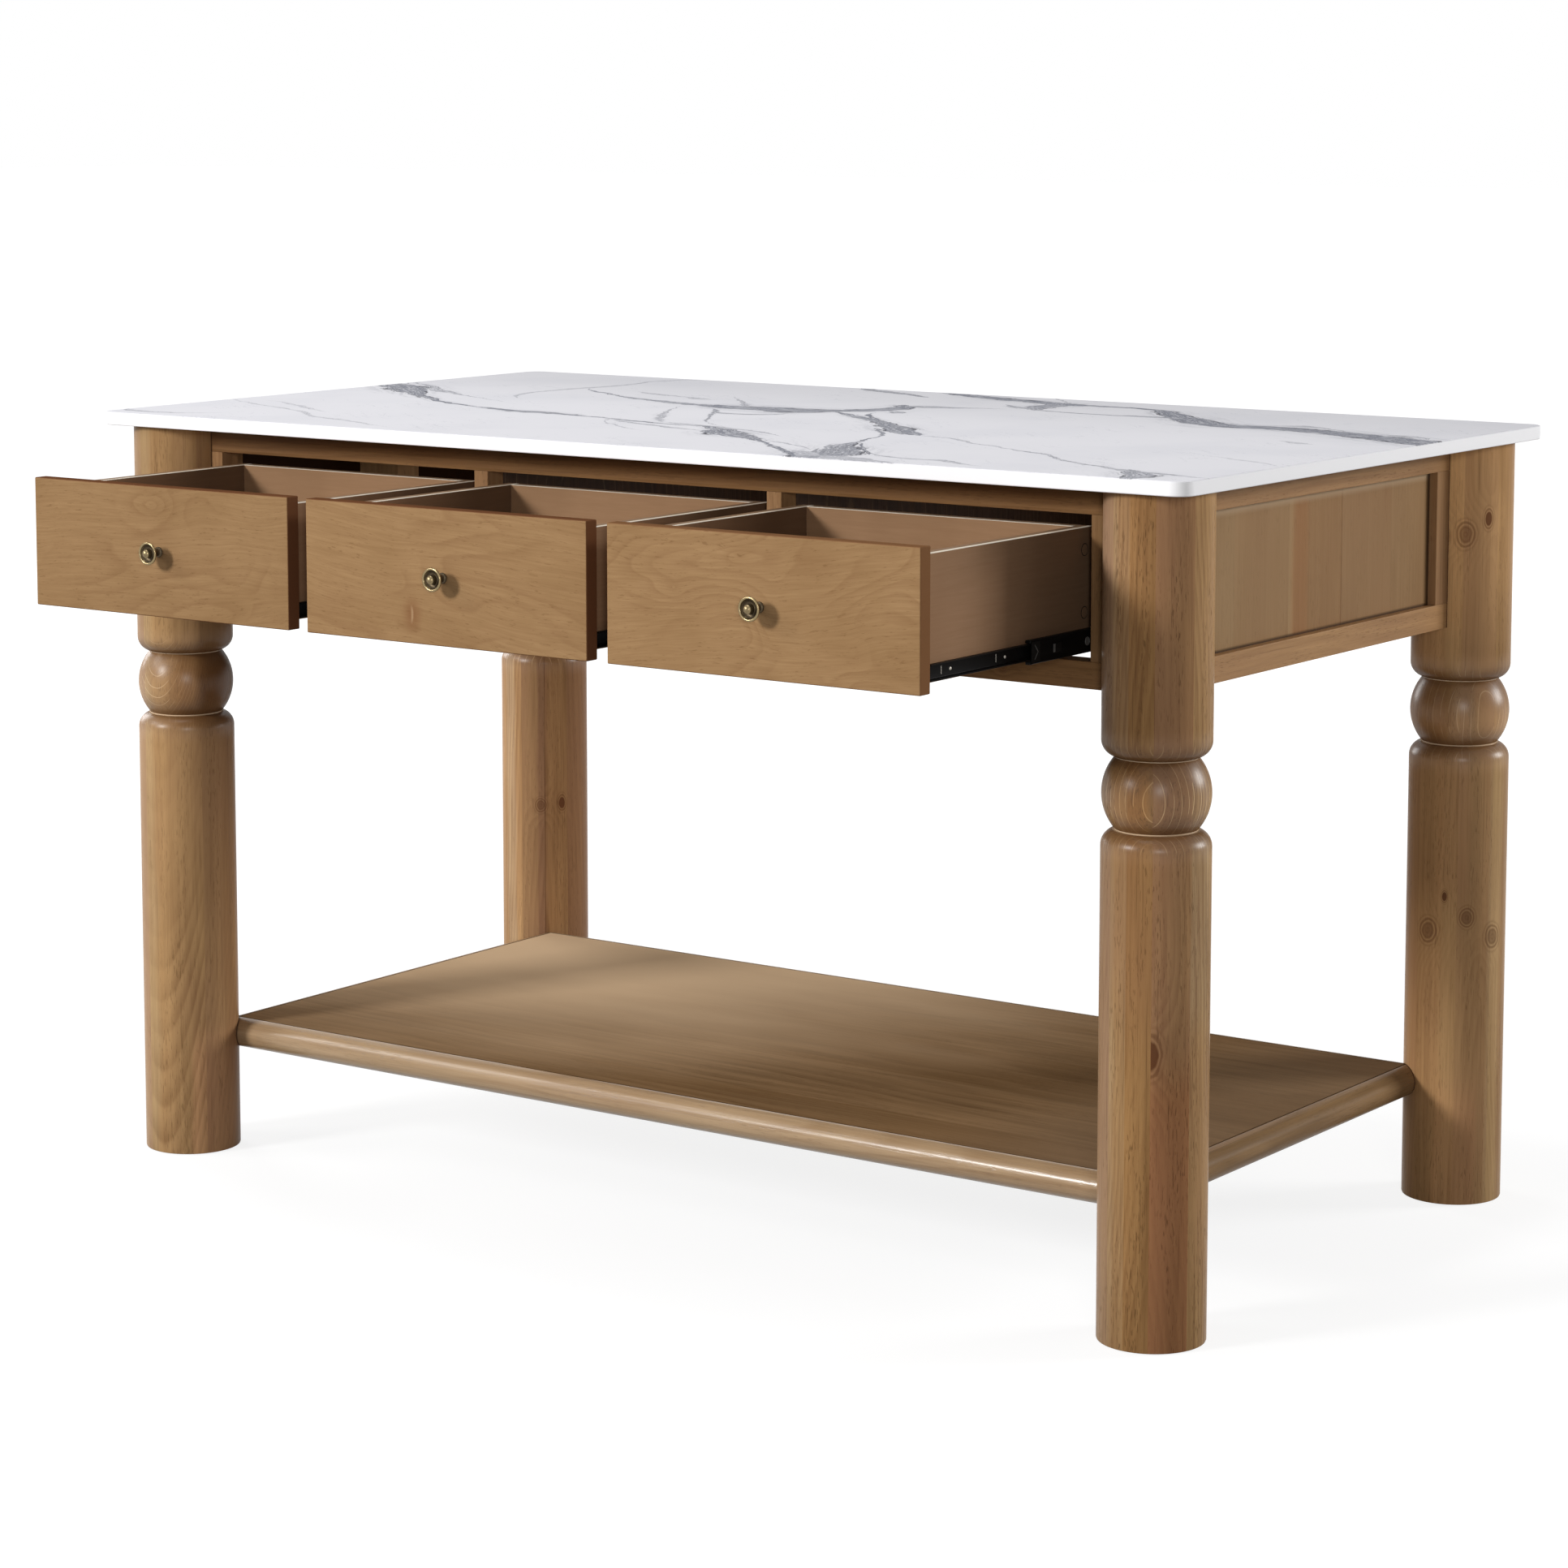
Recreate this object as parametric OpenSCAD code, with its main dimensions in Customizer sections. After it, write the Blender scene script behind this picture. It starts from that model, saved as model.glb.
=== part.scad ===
// Kitchen island: turned legs, framed box with three inset drawers, open bottom shelf.
// Lengths are in millimetres. The front faces -Y, the drawers are drawn pulled fully out.

/* [Overall] */
// Height from the floor to the upper face of the worktop
total_h = 914; // [880:1:960]
// Distance between the leg axes, left to right
leg_span_x = 1376; // [1300:2:1460]
// Distance between the leg axes, front to rear
leg_span_y = 700; // [680:2:760]

/* [Worktop] */
// Thickness of the slab
top_t = 16; // [12:1:30]
// How far the slab reaches past the legs on every side
top_overhang = 12; // [6:1:30]
// Radius of the slab's corners in plan
top_corner_r = 20; // [10:1:40]
// Small chamfer along the slab's upper and lower edges
top_ease = 1.5; // [0.5:0.25:3]

/* [Legs] */
// Diameter of the plain columns
leg_d = 116; // [104:1:124]
// Greatest diameter of the ball
ball_d = 115; // [98:1:122]
// Diameter at the two grooves
neck_d = 87; // [80:1:92]
// Height of the lower groove above the floor
groove_z = 544; // [500:1:560]
// Distance between the two grooves
ball_h = 76; // [64:1:84]
// Radius of the column shoulders next to the grooves
shoulder_r = 18; // [16:0.5:22]
// Chamfer at the floor end of each leg
foot_ease = 2; // [1:0.5:4]

/* [Frame] */
// Total height of the framed box under the worktop
apron_h = 214; // [205:1:240]
// Height of the top rails
top_rail_h = 31; // [26:1:36]
// Height of the bottom rails
bottom_rail_h = 29; // [24:1:34]
// Thickness of rails and stiles
frame_t = 28; // [24:1:32]
// Distance from the outermost line of the legs in to the frame face
frame_setback = 48; // [44:1:54]
// Width of each front end stile beside its leg
end_stile_w = 17.5; // [14:0.5:26]
// Width of the two dividing stiles and thickness of the partitions behind them
divider_w = 20; // [16:1:26]
// Width of the side and rear frame stiles beside their legs
side_stile_w = 30; // [22:1:40]
// Thickness of the side and rear panels
panel_t = 12; // [8:1:14]
// Distance from the frame face back to the panel face
panel_recess = 10; // [6:1:12]
// How far the panels reach into the grooves of rails and stiles
panel_tongue = 7; // [4:0.5:10]

/* [Shelf] */
// Height of the shelf's upper face above the floor
shelf_z = 158; // [130:1:260]
// Thickness of the shelf panel
shelf_t = 15; // [12:1:18]
// Height of the shelf rails, whose nose is a half round
shelf_rail_h = 36; // [32:1:42]
// Width of the ledge on which the panel lies
shelf_ledge = 26; // [18:1:34]
// Distance from the leg axes in to the panel's edge
shelf_inset = 40; // [36:0.5:41]

/* [Drawers] */
// How much less than its runners' length a drawer pulls out
travel_short = 0.5; // [0:0.5:60]
// Thickness of the drawer fronts
front_t = 18; // [15:1:22]
// Small chamfer round the face of the drawer fronts
front_ease = 1.2; // [0.4:0.2:2]
// Gap between a drawer front and the stiles
front_gap_side = 3.25; // [2:0.25:5]
// Gap between a drawer front and the top rail
front_gap_top = 5; // [2:0.5:7]
// Gap between a drawer front and the bottom rail
front_gap_bottom = 2; // [1:0.5:5]
// How far the drawer box reaches past the rear end of its runners
box_past_runner = 1; // [0.5:0.5:12]
// Thickness of the drawer box sides and back
box_t = 15; // [12:1:16]
// Distance from the top of the front down to the top of the box
box_drop = 9.5; // [6:0.5:14]
// Distance from the bottom of the front up to the bottom of the box
box_rise = 9; // [6:0.5:12]
// Thickness of the drawer bottom
bottom_t = 6; // [4:1:8]
// Depth of the grooves that hold the drawer bottom
bottom_groove = 6; // [4:0.5:8]
// Distance from the lower edge of the sides up to the drawer bottom
bottom_rise = 8; // [6:0.5:12]

/* [Runners] */
// Thickness of a closed runner, between drawer side and cabinet
runner_t = 12.7; // [12.7:0.1:13.5]
// Length of the fixed and drawer members
runner_len = 315; // [305:1:316]
// How much shorter the middle member is
middle_short = 45; // [35:1:75]
// Distance from the frame face back to the runner's front end
runner_setback = 22; // [22:1:26]
// Distance the middle member's front end lies behind the fixed member's when closed
middle_setback = 24; // [16:1:30]
// Height of the fixed member
outer_h = 35; // [34:0.5:37]
// Height of the middle member
middle_h = 26; // [25:0.5:27]
// Height of the drawer member
inner_h = 18; // [17:0.5:19]
// Thickness of the steel sheet
sheet_t = 1.2; // [1:0.1:1.4]
// Running clearance between members
race_gap = 0.3; // [0.2:0.05:0.5]
// Height of the runner's centre line above the drawer box's lower edge
runner_rise = 11; // [10.5:0.5:14]

/* [Knobs] */
// Diameter over the knob's rolled rim
knob_d = 26; // [22:0.5:32]
// Diameter of the knob's foot
knob_foot_d = 12; // [10:0.5:16]
// How far the knob stands out from the drawer front
knob_out = 24; // [22:0.5:30]
// Diameter of the domed button in the dish
button_d = 10.8; // [9:0.2:12]
// Radius of the rolled rim
rim_r = 1.8; // [1.4:0.1:2.2]
// Diameter of the knob's screw
knob_screw_d = 4; // [3:0.5:5]

/* [Leg bolts and posts] */
// Diameter of the bolts that hold the frame to the legs
bolt_d = 8; // [6:1:10]
// Diameter of the bolt heads
bolt_head_d = 13; // [12:0.5:16]
// Thickness of the bolt heads
bolt_head_t = 5; // [4:0.5:6]
// How far the bolts reach into the legs
bolt_reach = 35; // [25:1:45]
// Radial clearance round bolts and screws
bolt_gap = 0.15; // [0.1:0.05:0.3]
// Depth of the inner posts, front to rear
post_d = 40; // [30:1:60]
// Length of runner that lies on an inner post
post_seat = 14; // [10:1:28]

/* [Hidden] */
$fn = 96;
cut = 1; // how far a cutting solid runs past the face it opens
leg_x = leg_span_x / 2;
leg_y = leg_span_y / 2;
leg_r = leg_d / 2;
leg_h = total_h - top_t;
neck_r = neck_d / 2;
top_half_x = leg_x + leg_r + top_overhang;
top_half_y = leg_y + leg_r + top_overhang;

apron_z = leg_h - apron_h;
face_y = leg_y + leg_r - frame_setback;
face_x = leg_x + leg_r - frame_setback;
back_of_frame_y = face_y - frame_t;
opening_x = leg_x - leg_r - end_stile_w;
opening_w = (2 * opening_x - 2 * divider_w) / 3;
opening_z = apron_z + bottom_rail_h;
opening_top = leg_h - top_rail_h;
bay_pitch = opening_w + divider_w;
side_opening_y = leg_y - leg_r - side_stile_w;
rear_opening_x = leg_x - leg_r - side_stile_w;

front_w = opening_w - 2 * front_gap_side;
front_z = opening_z + front_gap_bottom;
front_h = opening_top - front_gap_top - front_z;
box_half_w = opening_w / 2 - runner_t;
box_z = front_z + box_rise;
box_h = front_h - box_rise - box_drop;
box_front_y = -face_y + front_t;
runner_z = box_z + runner_rise;
runner_y = -face_y + runner_setback;
middle_y = runner_y + middle_setback;
middle_len = runner_len - middle_short;
box_len = runner_y + runner_len + box_past_runner - box_front_y;
drawer_travel = runner_len - travel_short;
knob_z = front_z + front_h / 2;
dish_z = knob_out - 6;
knob_hole_depth = 11;
knob_neck_r = knob_foot_d / 2 - 2;
screw_head_d = 2.1 * knob_screw_d;
screw_head_t = 0.6 * knob_screw_d;

shelf_half_x = leg_x - shelf_inset;
shelf_half_y = leg_y - shelf_inset;
nose_r = shelf_rail_h / 2;
post_y = runner_y + runner_len - post_seat;
bolt_zs = [apron_z + 0.28 * apron_h, apron_z + 0.72 * apron_h];
bolt_y = face_y - frame_t / 2;

// The origin is the middle of the whole outline with the drawers out, at floor level
reach_front = face_y + drawer_travel + knob_out;
origin_y = (top_half_y - reach_front) / 2;

wood = [0.62, 0.48, 0.34];
wood_dark = [0.53, 0.41, 0.29];
ply = [0.72, 0.6, 0.46];
steel_black = [0.06, 0.06, 0.07];
brass = [0.5, 0.42, 0.26];
zinc = [0.7, 0.7, 0.68];
marble = [0.93, 0.93, 0.95];

// Placing helpers

module island() {
    translate([0, -origin_y, 0]) children();
}

// Puts a drawer's pieces, drawn closed, at bay -1, 0 or 1 and pulls them out by a share of the travel
module at_bay(bay, share) {
    island() translate([bay * bay_pitch, -share * drawer_travel, 0]) children();
}

module block(x0, x1, y0, y1, z0, z1) {
    translate([x0, y0, z0]) cube([x1 - x0, y1 - y0, z1 - z0]);
}

module both_sides() {
    children();
    mirror([1, 0, 0]) children();
}

module four_legs_space() {
    for (sx = [-1, 1], sy = [-1, 1])
        translate([sx * leg_x, sy * leg_y, -cut]) cylinder(r = leg_r, h = leg_h + 2 * cut);
}

// Worktop

module eased_profile(half, high, ease) {
    polygon([
        [-half + ease, 0], [half - ease, 0], [half, ease], [half, high - ease],
        [half - ease, high], [-half + ease, high], [-half, high - ease], [-half, ease]
    ]);
}

module worktop() {
    color(marble) island() translate([0, 0, leg_h]) {
        translate([-top_half_x + top_corner_r, 0, 0]) rotate([90, 0, 90])
            linear_extrude(2 * (top_half_x - top_corner_r)) eased_profile(top_half_y, top_t, top_ease);
        translate([0, top_half_y - top_corner_r, 0]) rotate([90, 0, 0])
            linear_extrude(2 * (top_half_y - top_corner_r)) eased_profile(top_half_x, top_t, top_ease);
        for (sx = [-1, 1], sy = [-1, 1])
            translate([sx * (top_half_x - top_corner_r), sy * (top_half_y - top_corner_r), 0])
                rotate_extrude() intersection() {
                    eased_profile(top_corner_r, top_t, top_ease);
                    square([top_corner_r, top_t]);
                }
    }
}

// Legs

// Half outline of a column that ends in a rounded shoulder at height z1
module column_outline(z1) {
    shoulder_x = leg_r - shoulder_r;
    shoulder_rise = sqrt(pow(shoulder_r, 2) - pow(neck_r - shoulder_x, 2));
    square([neck_r, z1]);
    square([leg_r, z1 - shoulder_rise]);
    intersection() {
        translate([shoulder_x, z1 - shoulder_rise]) circle(r = shoulder_r);
        square([leg_r, z1]);
    }
}

module ball_outline() {
    bulge = (ball_d - neck_d) / 2;
    arc_r = (pow(ball_h / 2, 2) + pow(bulge, 2)) / (2 * bulge);
    intersection() {
        translate([ball_d / 2 - arc_r, groove_z + ball_h / 2]) circle(r = arc_r);
        translate([0, groove_z]) square([ball_d, ball_h]);
    }
}

module leg_outline() {
    difference() {
        column_outline(groove_z);
        polygon([[leg_r - foot_ease, -cut / 2], [leg_r + cut, -cut / 2], [leg_r + cut, foot_ease + cut],
            [leg_r, foot_ease], [leg_r - foot_ease, 0]]);
    }
    ball_outline();
    translate([0, leg_h]) mirror([0, 1]) column_outline(leg_h - groove_z - ball_h);
}

module leg(sx, sy) {
    color(wood) island() difference() {
        translate([sx * leg_x, sy * leg_y, 0]) rotate_extrude() leg_outline();
        bolts(bolt_gap);
    }
}

// Bolts of all four legs, drawn as thick by gap as the space they need
module bolts(gap) {
    for (sx = [-1, 1], sy = [-1, 1], z = bolt_zs)
        translate([sx * opening_x, sy * bolt_y, z]) rotate([0, sx * 90, 0]) {
            translate([0, 0, -gap]) cylinder(d = bolt_head_d + 2 * gap, h = bolt_head_t + 2 * gap + 0.5);
            cylinder(d = bolt_d + 2 * gap, h = end_stile_w + bolt_reach + gap);
        }
}

module leg_bolts() {
    color(zinc) island() for (sx = [-1, 1], sy = [-1, 1], z = bolt_zs)
        translate([sx * (opening_x + 0.5), sy * bolt_y, z]) rotate([0, sx * 90, 0]) {
            cylinder(d = bolt_head_d, h = bolt_head_t);
            cylinder(d = bolt_d, h = end_stile_w + bolt_reach - 0.5);
        }
}

// Front frame

module front_rail(z0, z1) {
    color(wood) island() difference() {
        block(-leg_x, leg_x, -face_y, -back_of_frame_y, z0, z1);
        four_legs_space();
    }
}

module front_end_stiles() {
    color(wood) island() difference() {
        both_sides() block(opening_x, leg_x, -face_y, -back_of_frame_y, opening_z, opening_top);
        four_legs_space();
        bolts(bolt_gap);
    }
}

module divider(sx) {
    color(wood) island() translate([sx * bay_pitch / 2, 0, 0])
        block(-divider_w / 2, divider_w / 2, -face_y, -back_of_frame_y, opening_z, opening_top);
}

// Side frames

module side_panel_space(sx, gap) {
    x1 = face_x - panel_recess + gap;
    x0 = face_x - panel_recess - panel_t - gap;
    y = side_opening_y + panel_tongue + gap;
    scale_x(sx) block(x0, x1, -y, y, opening_z - panel_tongue - gap, opening_top + panel_tongue + gap);
}

module scale_x(sx) {
    mirror([sx < 0 ? 1 : 0, 0, 0]) children();
}

module side_rail(sx, z0, z1) {
    color(wood) island() difference() {
        scale_x(sx) block(face_x - frame_t, face_x, -leg_y, leg_y, z0, z1);
        four_legs_space();
        side_panel_space(sx, 0);
    }
}

module side_stiles(sx) {
    color(wood) island() difference() {
        for (sy = [-1, 1])
            scale_x(sx) block(face_x - frame_t, face_x, sy < 0 ? -leg_y : side_opening_y,
                sy < 0 ? -side_opening_y : leg_y, opening_z, opening_top);
        four_legs_space();
        side_panel_space(sx, 0);
    }
}

module side_panel(sx) {
    color(wood_dark) island() side_panel_space(sx, 0);
}

// Rear frame

module rear_panel_space() {
    x = rear_opening_x + panel_tongue;
    y1 = face_y - panel_recess;
    block(-x, x, y1 - panel_t, y1, opening_z - panel_tongue, opening_top + panel_tongue);
}

module rear_rail(z0, z1) {
    color(wood) island() difference() {
        block(-leg_x, leg_x, back_of_frame_y, face_y, z0, z1);
        four_legs_space();
        rear_panel_space();
    }
}

module rear_stiles() {
    color(wood) island() difference() {
        both_sides() block(rear_opening_x, leg_x, back_of_frame_y, face_y, opening_z, opening_top);
        four_legs_space();
        rear_panel_space();
        bolts(bolt_gap);
    }
}

module rear_panel() {
    color(wood_dark) island() rear_panel_space();
}

// Inner carriers of the runners

module partition(sx) {
    color(wood_dark) island() translate([sx * bay_pitch / 2, 0, 0])
        block(-divider_w / 2, divider_w / 2, -back_of_frame_y, back_of_frame_y, apron_z, leg_h);
}

module runner_posts() {
    color(wood) island() both_sides()
        block(opening_x, face_x - panel_recess - panel_t, post_y, post_y + post_d, opening_z, opening_top);
}

// Shelf

module shelf_panel() {
    color(wood_dark) island() difference() {
        block(-shelf_half_x, shelf_half_x, -shelf_half_y, shelf_half_y, shelf_z - shelf_t, shelf_z);
        four_legs_space();
    }
}

// A rail along X, with its panel edge at y = 0 and its nose towards -Y, mitred at both ends
module nosed_rail(half_len) {
    intersection() {
        translate([-half_len - nose_r, 0, shelf_z]) rotate([90, 0, 90])
            linear_extrude(2 * (half_len + nose_r)) difference() {
                union() {
                    translate([0, -nose_r]) circle(r = nose_r);
                    translate([0, -shelf_rail_h]) square([shelf_ledge, shelf_rail_h]);
                }
                translate([0, -shelf_t]) square([shelf_ledge + cut, shelf_t + cut]);
            }
        translate([0, 0, shelf_z - shelf_rail_h - cut]) linear_extrude(shelf_rail_h + 2 * cut)
            polygon([
                [-half_len - nose_r, -nose_r], [half_len + nose_r, -nose_r],
                [half_len - shelf_ledge, shelf_ledge], [-half_len + shelf_ledge, shelf_ledge]
            ]);
    }
}

module shelf_long_rail(sy) {
    color(wood) island() difference() {
        rotate([0, 0, sy < 0 ? 0 : 180]) translate([0, -shelf_half_y, 0]) nosed_rail(shelf_half_x);
        four_legs_space();
    }
}

module shelf_short_rail(sx) {
    color(wood) island() difference() {
        rotate([0, 0, sx * 90]) translate([0, -shelf_half_x, 0]) nosed_rail(shelf_half_y);
        four_legs_space();
    }
}

// Drawers

module drawer_front(bay) {
    color(wood) at_bay(bay, 1) difference() {
        intersection() {
            translate([0, 0, front_z]) linear_extrude(front_h) front_section(front_w);
            translate([-front_w / 2, 0, knob_z]) rotate([0, 90, 0]) linear_extrude(front_w) front_section(front_h);
        }
        box_bottom_space();
        translate([0, -face_y - cut, knob_z]) rotate([-90, 0, 0])
            cylinder(d = knob_screw_d + 2 * bolt_gap, h = front_t + 2 * cut);
    }
}

// Section of a drawer front, eased along both edges of its face
module front_section(wide) {
    polygon([
        [-wide / 2, -face_y + front_ease], [-wide / 2 + front_ease, -face_y],
        [wide / 2 - front_ease, -face_y], [wide / 2, -face_y + front_ease],
        [wide / 2, -face_y + front_t], [-wide / 2, -face_y + front_t]
    ]);
}

// The drawer bottom, which fills grooves in the front, the sides and the back
module box_bottom_space() {
    x = box_half_w - box_t + bottom_groove;
    block(-x, x, box_front_y - bottom_groove, box_front_y + box_len - box_t + bottom_groove,
        box_z + bottom_rise, box_z + bottom_rise + bottom_t);
}

module drawer_side(bay, sx) {
    color(ply) at_bay(bay, 1) difference() {
        scale_x(sx) block(box_half_w - box_t, box_half_w, box_front_y, box_front_y + box_len, box_z, box_z + box_h);
        box_bottom_space();
    }
}

module drawer_back(bay) {
    color(ply) at_bay(bay, 1) difference() {
        block(-box_half_w + box_t, box_half_w - box_t, box_front_y + box_len - box_t, box_front_y + box_len,
            box_z, box_z + box_h);
        box_bottom_space();
    }
}

module drawer_bottom(bay) {
    color(ply) at_bay(bay, 1) box_bottom_space();
}

// Knobs

// Half outline of the knob, from its foot at 0 to the button's top at knob_out
module knob_outline() {
    square([knob_foot_d / 2, 2.5]);
    square([knob_neck_r, dish_z]);
    polygon([
        [0, dish_z - 5], [knob_neck_r, dish_z - 5], [knob_d / 2 - rim_r, dish_z - 1],
        [knob_d / 2 - rim_r, dish_z + 1], [knob_neck_r, dish_z - 2], [0, dish_z - 2]
    ]);
    translate([knob_d / 2 - rim_r, dish_z]) circle(r = rim_r, $fn = 48);
    intersection() {
        translate([0, knob_out - button_d * 0.6]) circle(r = button_d * 0.6, $fn = 64);
        translate([0, dish_z - 2]) square([button_d / 2, knob_out]);
    }
}

module drawer_knob(bay) {
    color(brass) at_bay(bay, 1) translate([0, -face_y, knob_z]) {
        rotate([90, 0, 0]) difference() {
            rotate_extrude() knob_outline();
            translate([0, 0, -cut]) cylinder(d = knob_screw_d + 2 * bolt_gap, h = knob_hole_depth + cut);
        }
        rotate([-90, 0, 0]) {
            translate([0, 0, -knob_hole_depth + 1]) cylinder(d = knob_screw_d, h = knob_hole_depth - 1 + front_t);
            translate([0, 0, front_t]) cylinder(d = screw_head_d, h = screw_head_t);
        }
    }
}

// Runners
// Each member is a channel along Y. x counts from the cabinet towards the drawer.

module channel(x_web, x_tip, high, wall, from_y, length) {
    x0 = min(x_web, x_tip);
    x1 = max(x_web, x_tip);
    lip = sign(x_tip - x_web) * sheet_t;
    translate([0, from_y, runner_z]) {
        block(min(x_web, x_web + lip), max(x_web, x_web + lip), 0, length, -high / 2, high / 2);
        block(x0, x1, 0, length, high / 2 - wall, high / 2);
        block(x0, x1, 0, length, -high / 2, -high / 2 + wall);
    }
}

module at_cabinet_wall() {
    both_sides() translate([opening_w / 2, 0, 0]) mirror([1, 0, 0]) children();
}

module fixed_runners(bay) {
    color(steel_black) at_bay(bay, 0) at_cabinet_wall()
        channel(0, 0.7 * runner_t, outer_h, (outer_h - middle_h) / 2 - race_gap, runner_y, runner_len);
}

module sliding_runners(bay) {
    color(steel_black) at_bay(bay, 0.5) at_cabinet_wall()
        channel(sheet_t + 2 * race_gap, 0.82 * runner_t, middle_h, (middle_h - inner_h) / 2 - race_gap,
            middle_y, middle_len);
}

module drawer_runners(bay) {
    color(steel_black) at_bay(bay, 1) at_cabinet_wall()
        channel(runner_t, 2 * sheet_t + 5 * race_gap, inner_h, sheet_t, runner_y, runner_len);
}

worktop();
leg(-1, -1);  // leg_front_left
leg(1, -1);  // leg_front_right
leg(-1, 1);  // leg_rear_left
leg(1, 1);  // leg_rear_right
front_rail(opening_top, leg_h);  // front_top_rail
front_rail(apron_z, opening_z);  // front_bottom_rail
front_end_stiles();
divider(-1);  // divider_left
divider(1);  // divider_right
side_rail(-1, opening_top, leg_h);  // left_top_rail
side_rail(-1, apron_z, opening_z);  // left_bottom_rail
side_stiles(-1);  // left_stiles
side_panel(-1);  // left_panel
side_rail(1, opening_top, leg_h);  // right_top_rail
side_rail(1, apron_z, opening_z);  // right_bottom_rail
side_stiles(1);  // right_stiles
side_panel(1);  // right_panel
rear_rail(opening_top, leg_h);  // rear_top_rail
rear_rail(apron_z, opening_z);  // rear_bottom_rail
rear_stiles();
rear_panel();
partition(-1);  // partition_left
partition(1);  // partition_right
runner_posts();
leg_bolts();
shelf_panel();
shelf_long_rail(-1);  // shelf_front_rail
shelf_long_rail(1);  // shelf_rear_rail
shelf_short_rail(-1);  // shelf_left_rail
shelf_short_rail(1);  // shelf_right_rail
drawer_front(-1);  // left_drawer_front
drawer_side(-1, -1);  // left_drawer_left_side
drawer_side(-1, 1);  // left_drawer_right_side
drawer_back(-1);  // left_drawer_back
drawer_bottom(-1);  // left_drawer_bottom
drawer_knob(-1);  // left_drawer_knob
drawer_runners(-1);  // left_drawer_runners
drawer_front(0);  // middle_drawer_front
drawer_side(0, -1);  // middle_drawer_left_side
drawer_side(0, 1);  // middle_drawer_right_side
drawer_back(0);  // middle_drawer_back
drawer_bottom(0);  // middle_drawer_bottom
drawer_knob(0);  // middle_drawer_knob
drawer_runners(0);  // middle_drawer_runners
drawer_front(1);  // right_drawer_front
drawer_side(1, -1);  // right_drawer_left_side
drawer_side(1, 1);  // right_drawer_right_side
drawer_back(1);  // right_drawer_back
drawer_bottom(1);  // right_drawer_bottom
drawer_knob(1);  // right_drawer_knob
drawer_runners(1);  // right_drawer_runners
fixed_runners(-1);  // left_fixed_runners
fixed_runners(0);  // middle_fixed_runners
fixed_runners(1);  // right_fixed_runners
sliding_runners(-1);  // left_sliding_runners
sliding_runners(0);  // middle_sliding_runners
sliding_runners(1);  // right_sliding_runners
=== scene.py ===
"""Looks of the kitchen island: worktop, turned legs, framed box, drawers, runners, knobs and shelf.

Sizes are in millimetres, measured from the middle of the four legs at floor level, until a piece is placed in
the CAD frame, which is in metres. Materials work in that frame. The front faces -Y.
"""
import math
from types import SimpleNamespace

import bmesh
import bpy
from mathutils import Matrix, Vector


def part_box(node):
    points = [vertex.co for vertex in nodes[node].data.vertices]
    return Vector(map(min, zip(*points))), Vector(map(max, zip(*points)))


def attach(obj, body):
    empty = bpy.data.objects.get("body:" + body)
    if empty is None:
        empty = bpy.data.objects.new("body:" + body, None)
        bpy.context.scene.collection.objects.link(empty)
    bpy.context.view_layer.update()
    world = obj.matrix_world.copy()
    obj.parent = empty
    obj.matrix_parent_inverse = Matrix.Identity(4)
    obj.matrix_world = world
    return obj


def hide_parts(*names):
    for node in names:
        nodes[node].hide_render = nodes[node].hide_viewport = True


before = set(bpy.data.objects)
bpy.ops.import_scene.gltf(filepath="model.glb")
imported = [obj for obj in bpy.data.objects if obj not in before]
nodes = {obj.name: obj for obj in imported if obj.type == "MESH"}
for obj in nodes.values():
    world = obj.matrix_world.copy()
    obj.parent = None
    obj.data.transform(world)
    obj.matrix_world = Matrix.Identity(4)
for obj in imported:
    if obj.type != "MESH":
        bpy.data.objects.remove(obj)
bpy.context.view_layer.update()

# Placing: the worktop is centred on the legs
MM = 0.001
slab_low, slab_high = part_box("worktop")
ORIGIN_Y = (slab_low.y + slab_high.y) / 2 / MM
TO_FRAME = Matrix.Scale(MM, 4) @ Matrix.Translation((0, ORIGIN_Y, 0))
ISLAND_CENTRE = (0, ORIGIN_Y * MM, 0)

# Sizes of the CAD model, and places of the small fittings
SLAB_X, SLAB_Y, SLAB_TOP, SLAB_T, SLAB_CORNER, SLAB_EASE = 758, 420, 914, 16, 20, 1.6
LEG_X, LEG_Y, LEG_R, LEG_H = 688, 350, 58, 898
NECK_R, GROOVE_Z, BALL_H, BALL_R, SHOULDER_R = 43.5, 544, 76, 57.5, 18
FACE_X, FACE_Y, FRAME_T = 698, 360, 28
OPENING_X, OPENING_W, DIVIDER_W, BAY = 612.5, 395, 20, 415
RAIL_LOW, OPENING_LOW, OPENING_HIGH = 684, 713, 867
SIDE_OPENING_Y, REAR_OPENING_X = 262, 600
SHELF_X, SHELF_Y, SHELF_Z, SHELF_T, NOSE_R, LEDGE = 648, 310, 158, 15, 18, 26
TRAVEL = 314.5
FRONT_W, FRONT_Z, FRONT_H, FRONT_T = 388.5, 715, 147, 18
BOX_HALF, BOX_T, BOX_TOP, BOX_LEN = 184.8, 15, 852.5, 320
RUNNER_Z, RUNNER_Y, RUNNER_LEN, MIDDLE_Y, MIDDLE_LEN, SHEET_T = 735, -338, 315, -314, 270, 1.1
KNOB_Z, KNOB_R, KNOB_OUT = 788.5, 13, 24
CAM_INSET, CAM_Z = 8, (763, 829)
SCREW_Y, SLIT_Y = (-609, -508, -405), (-625.5, -525)
BAYS = {"left": -1, "middle": 0, "right": 1}
ISLAND = "island_frame"
BALL_MIDDLE = (GROOVE_Z + BALL_H / 2) * MM
FRONT_OUT, MIDDLE_OUT = -FACE_Y - TRAVEL, MIDDLE_Y - TRAVEL / 2

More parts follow.
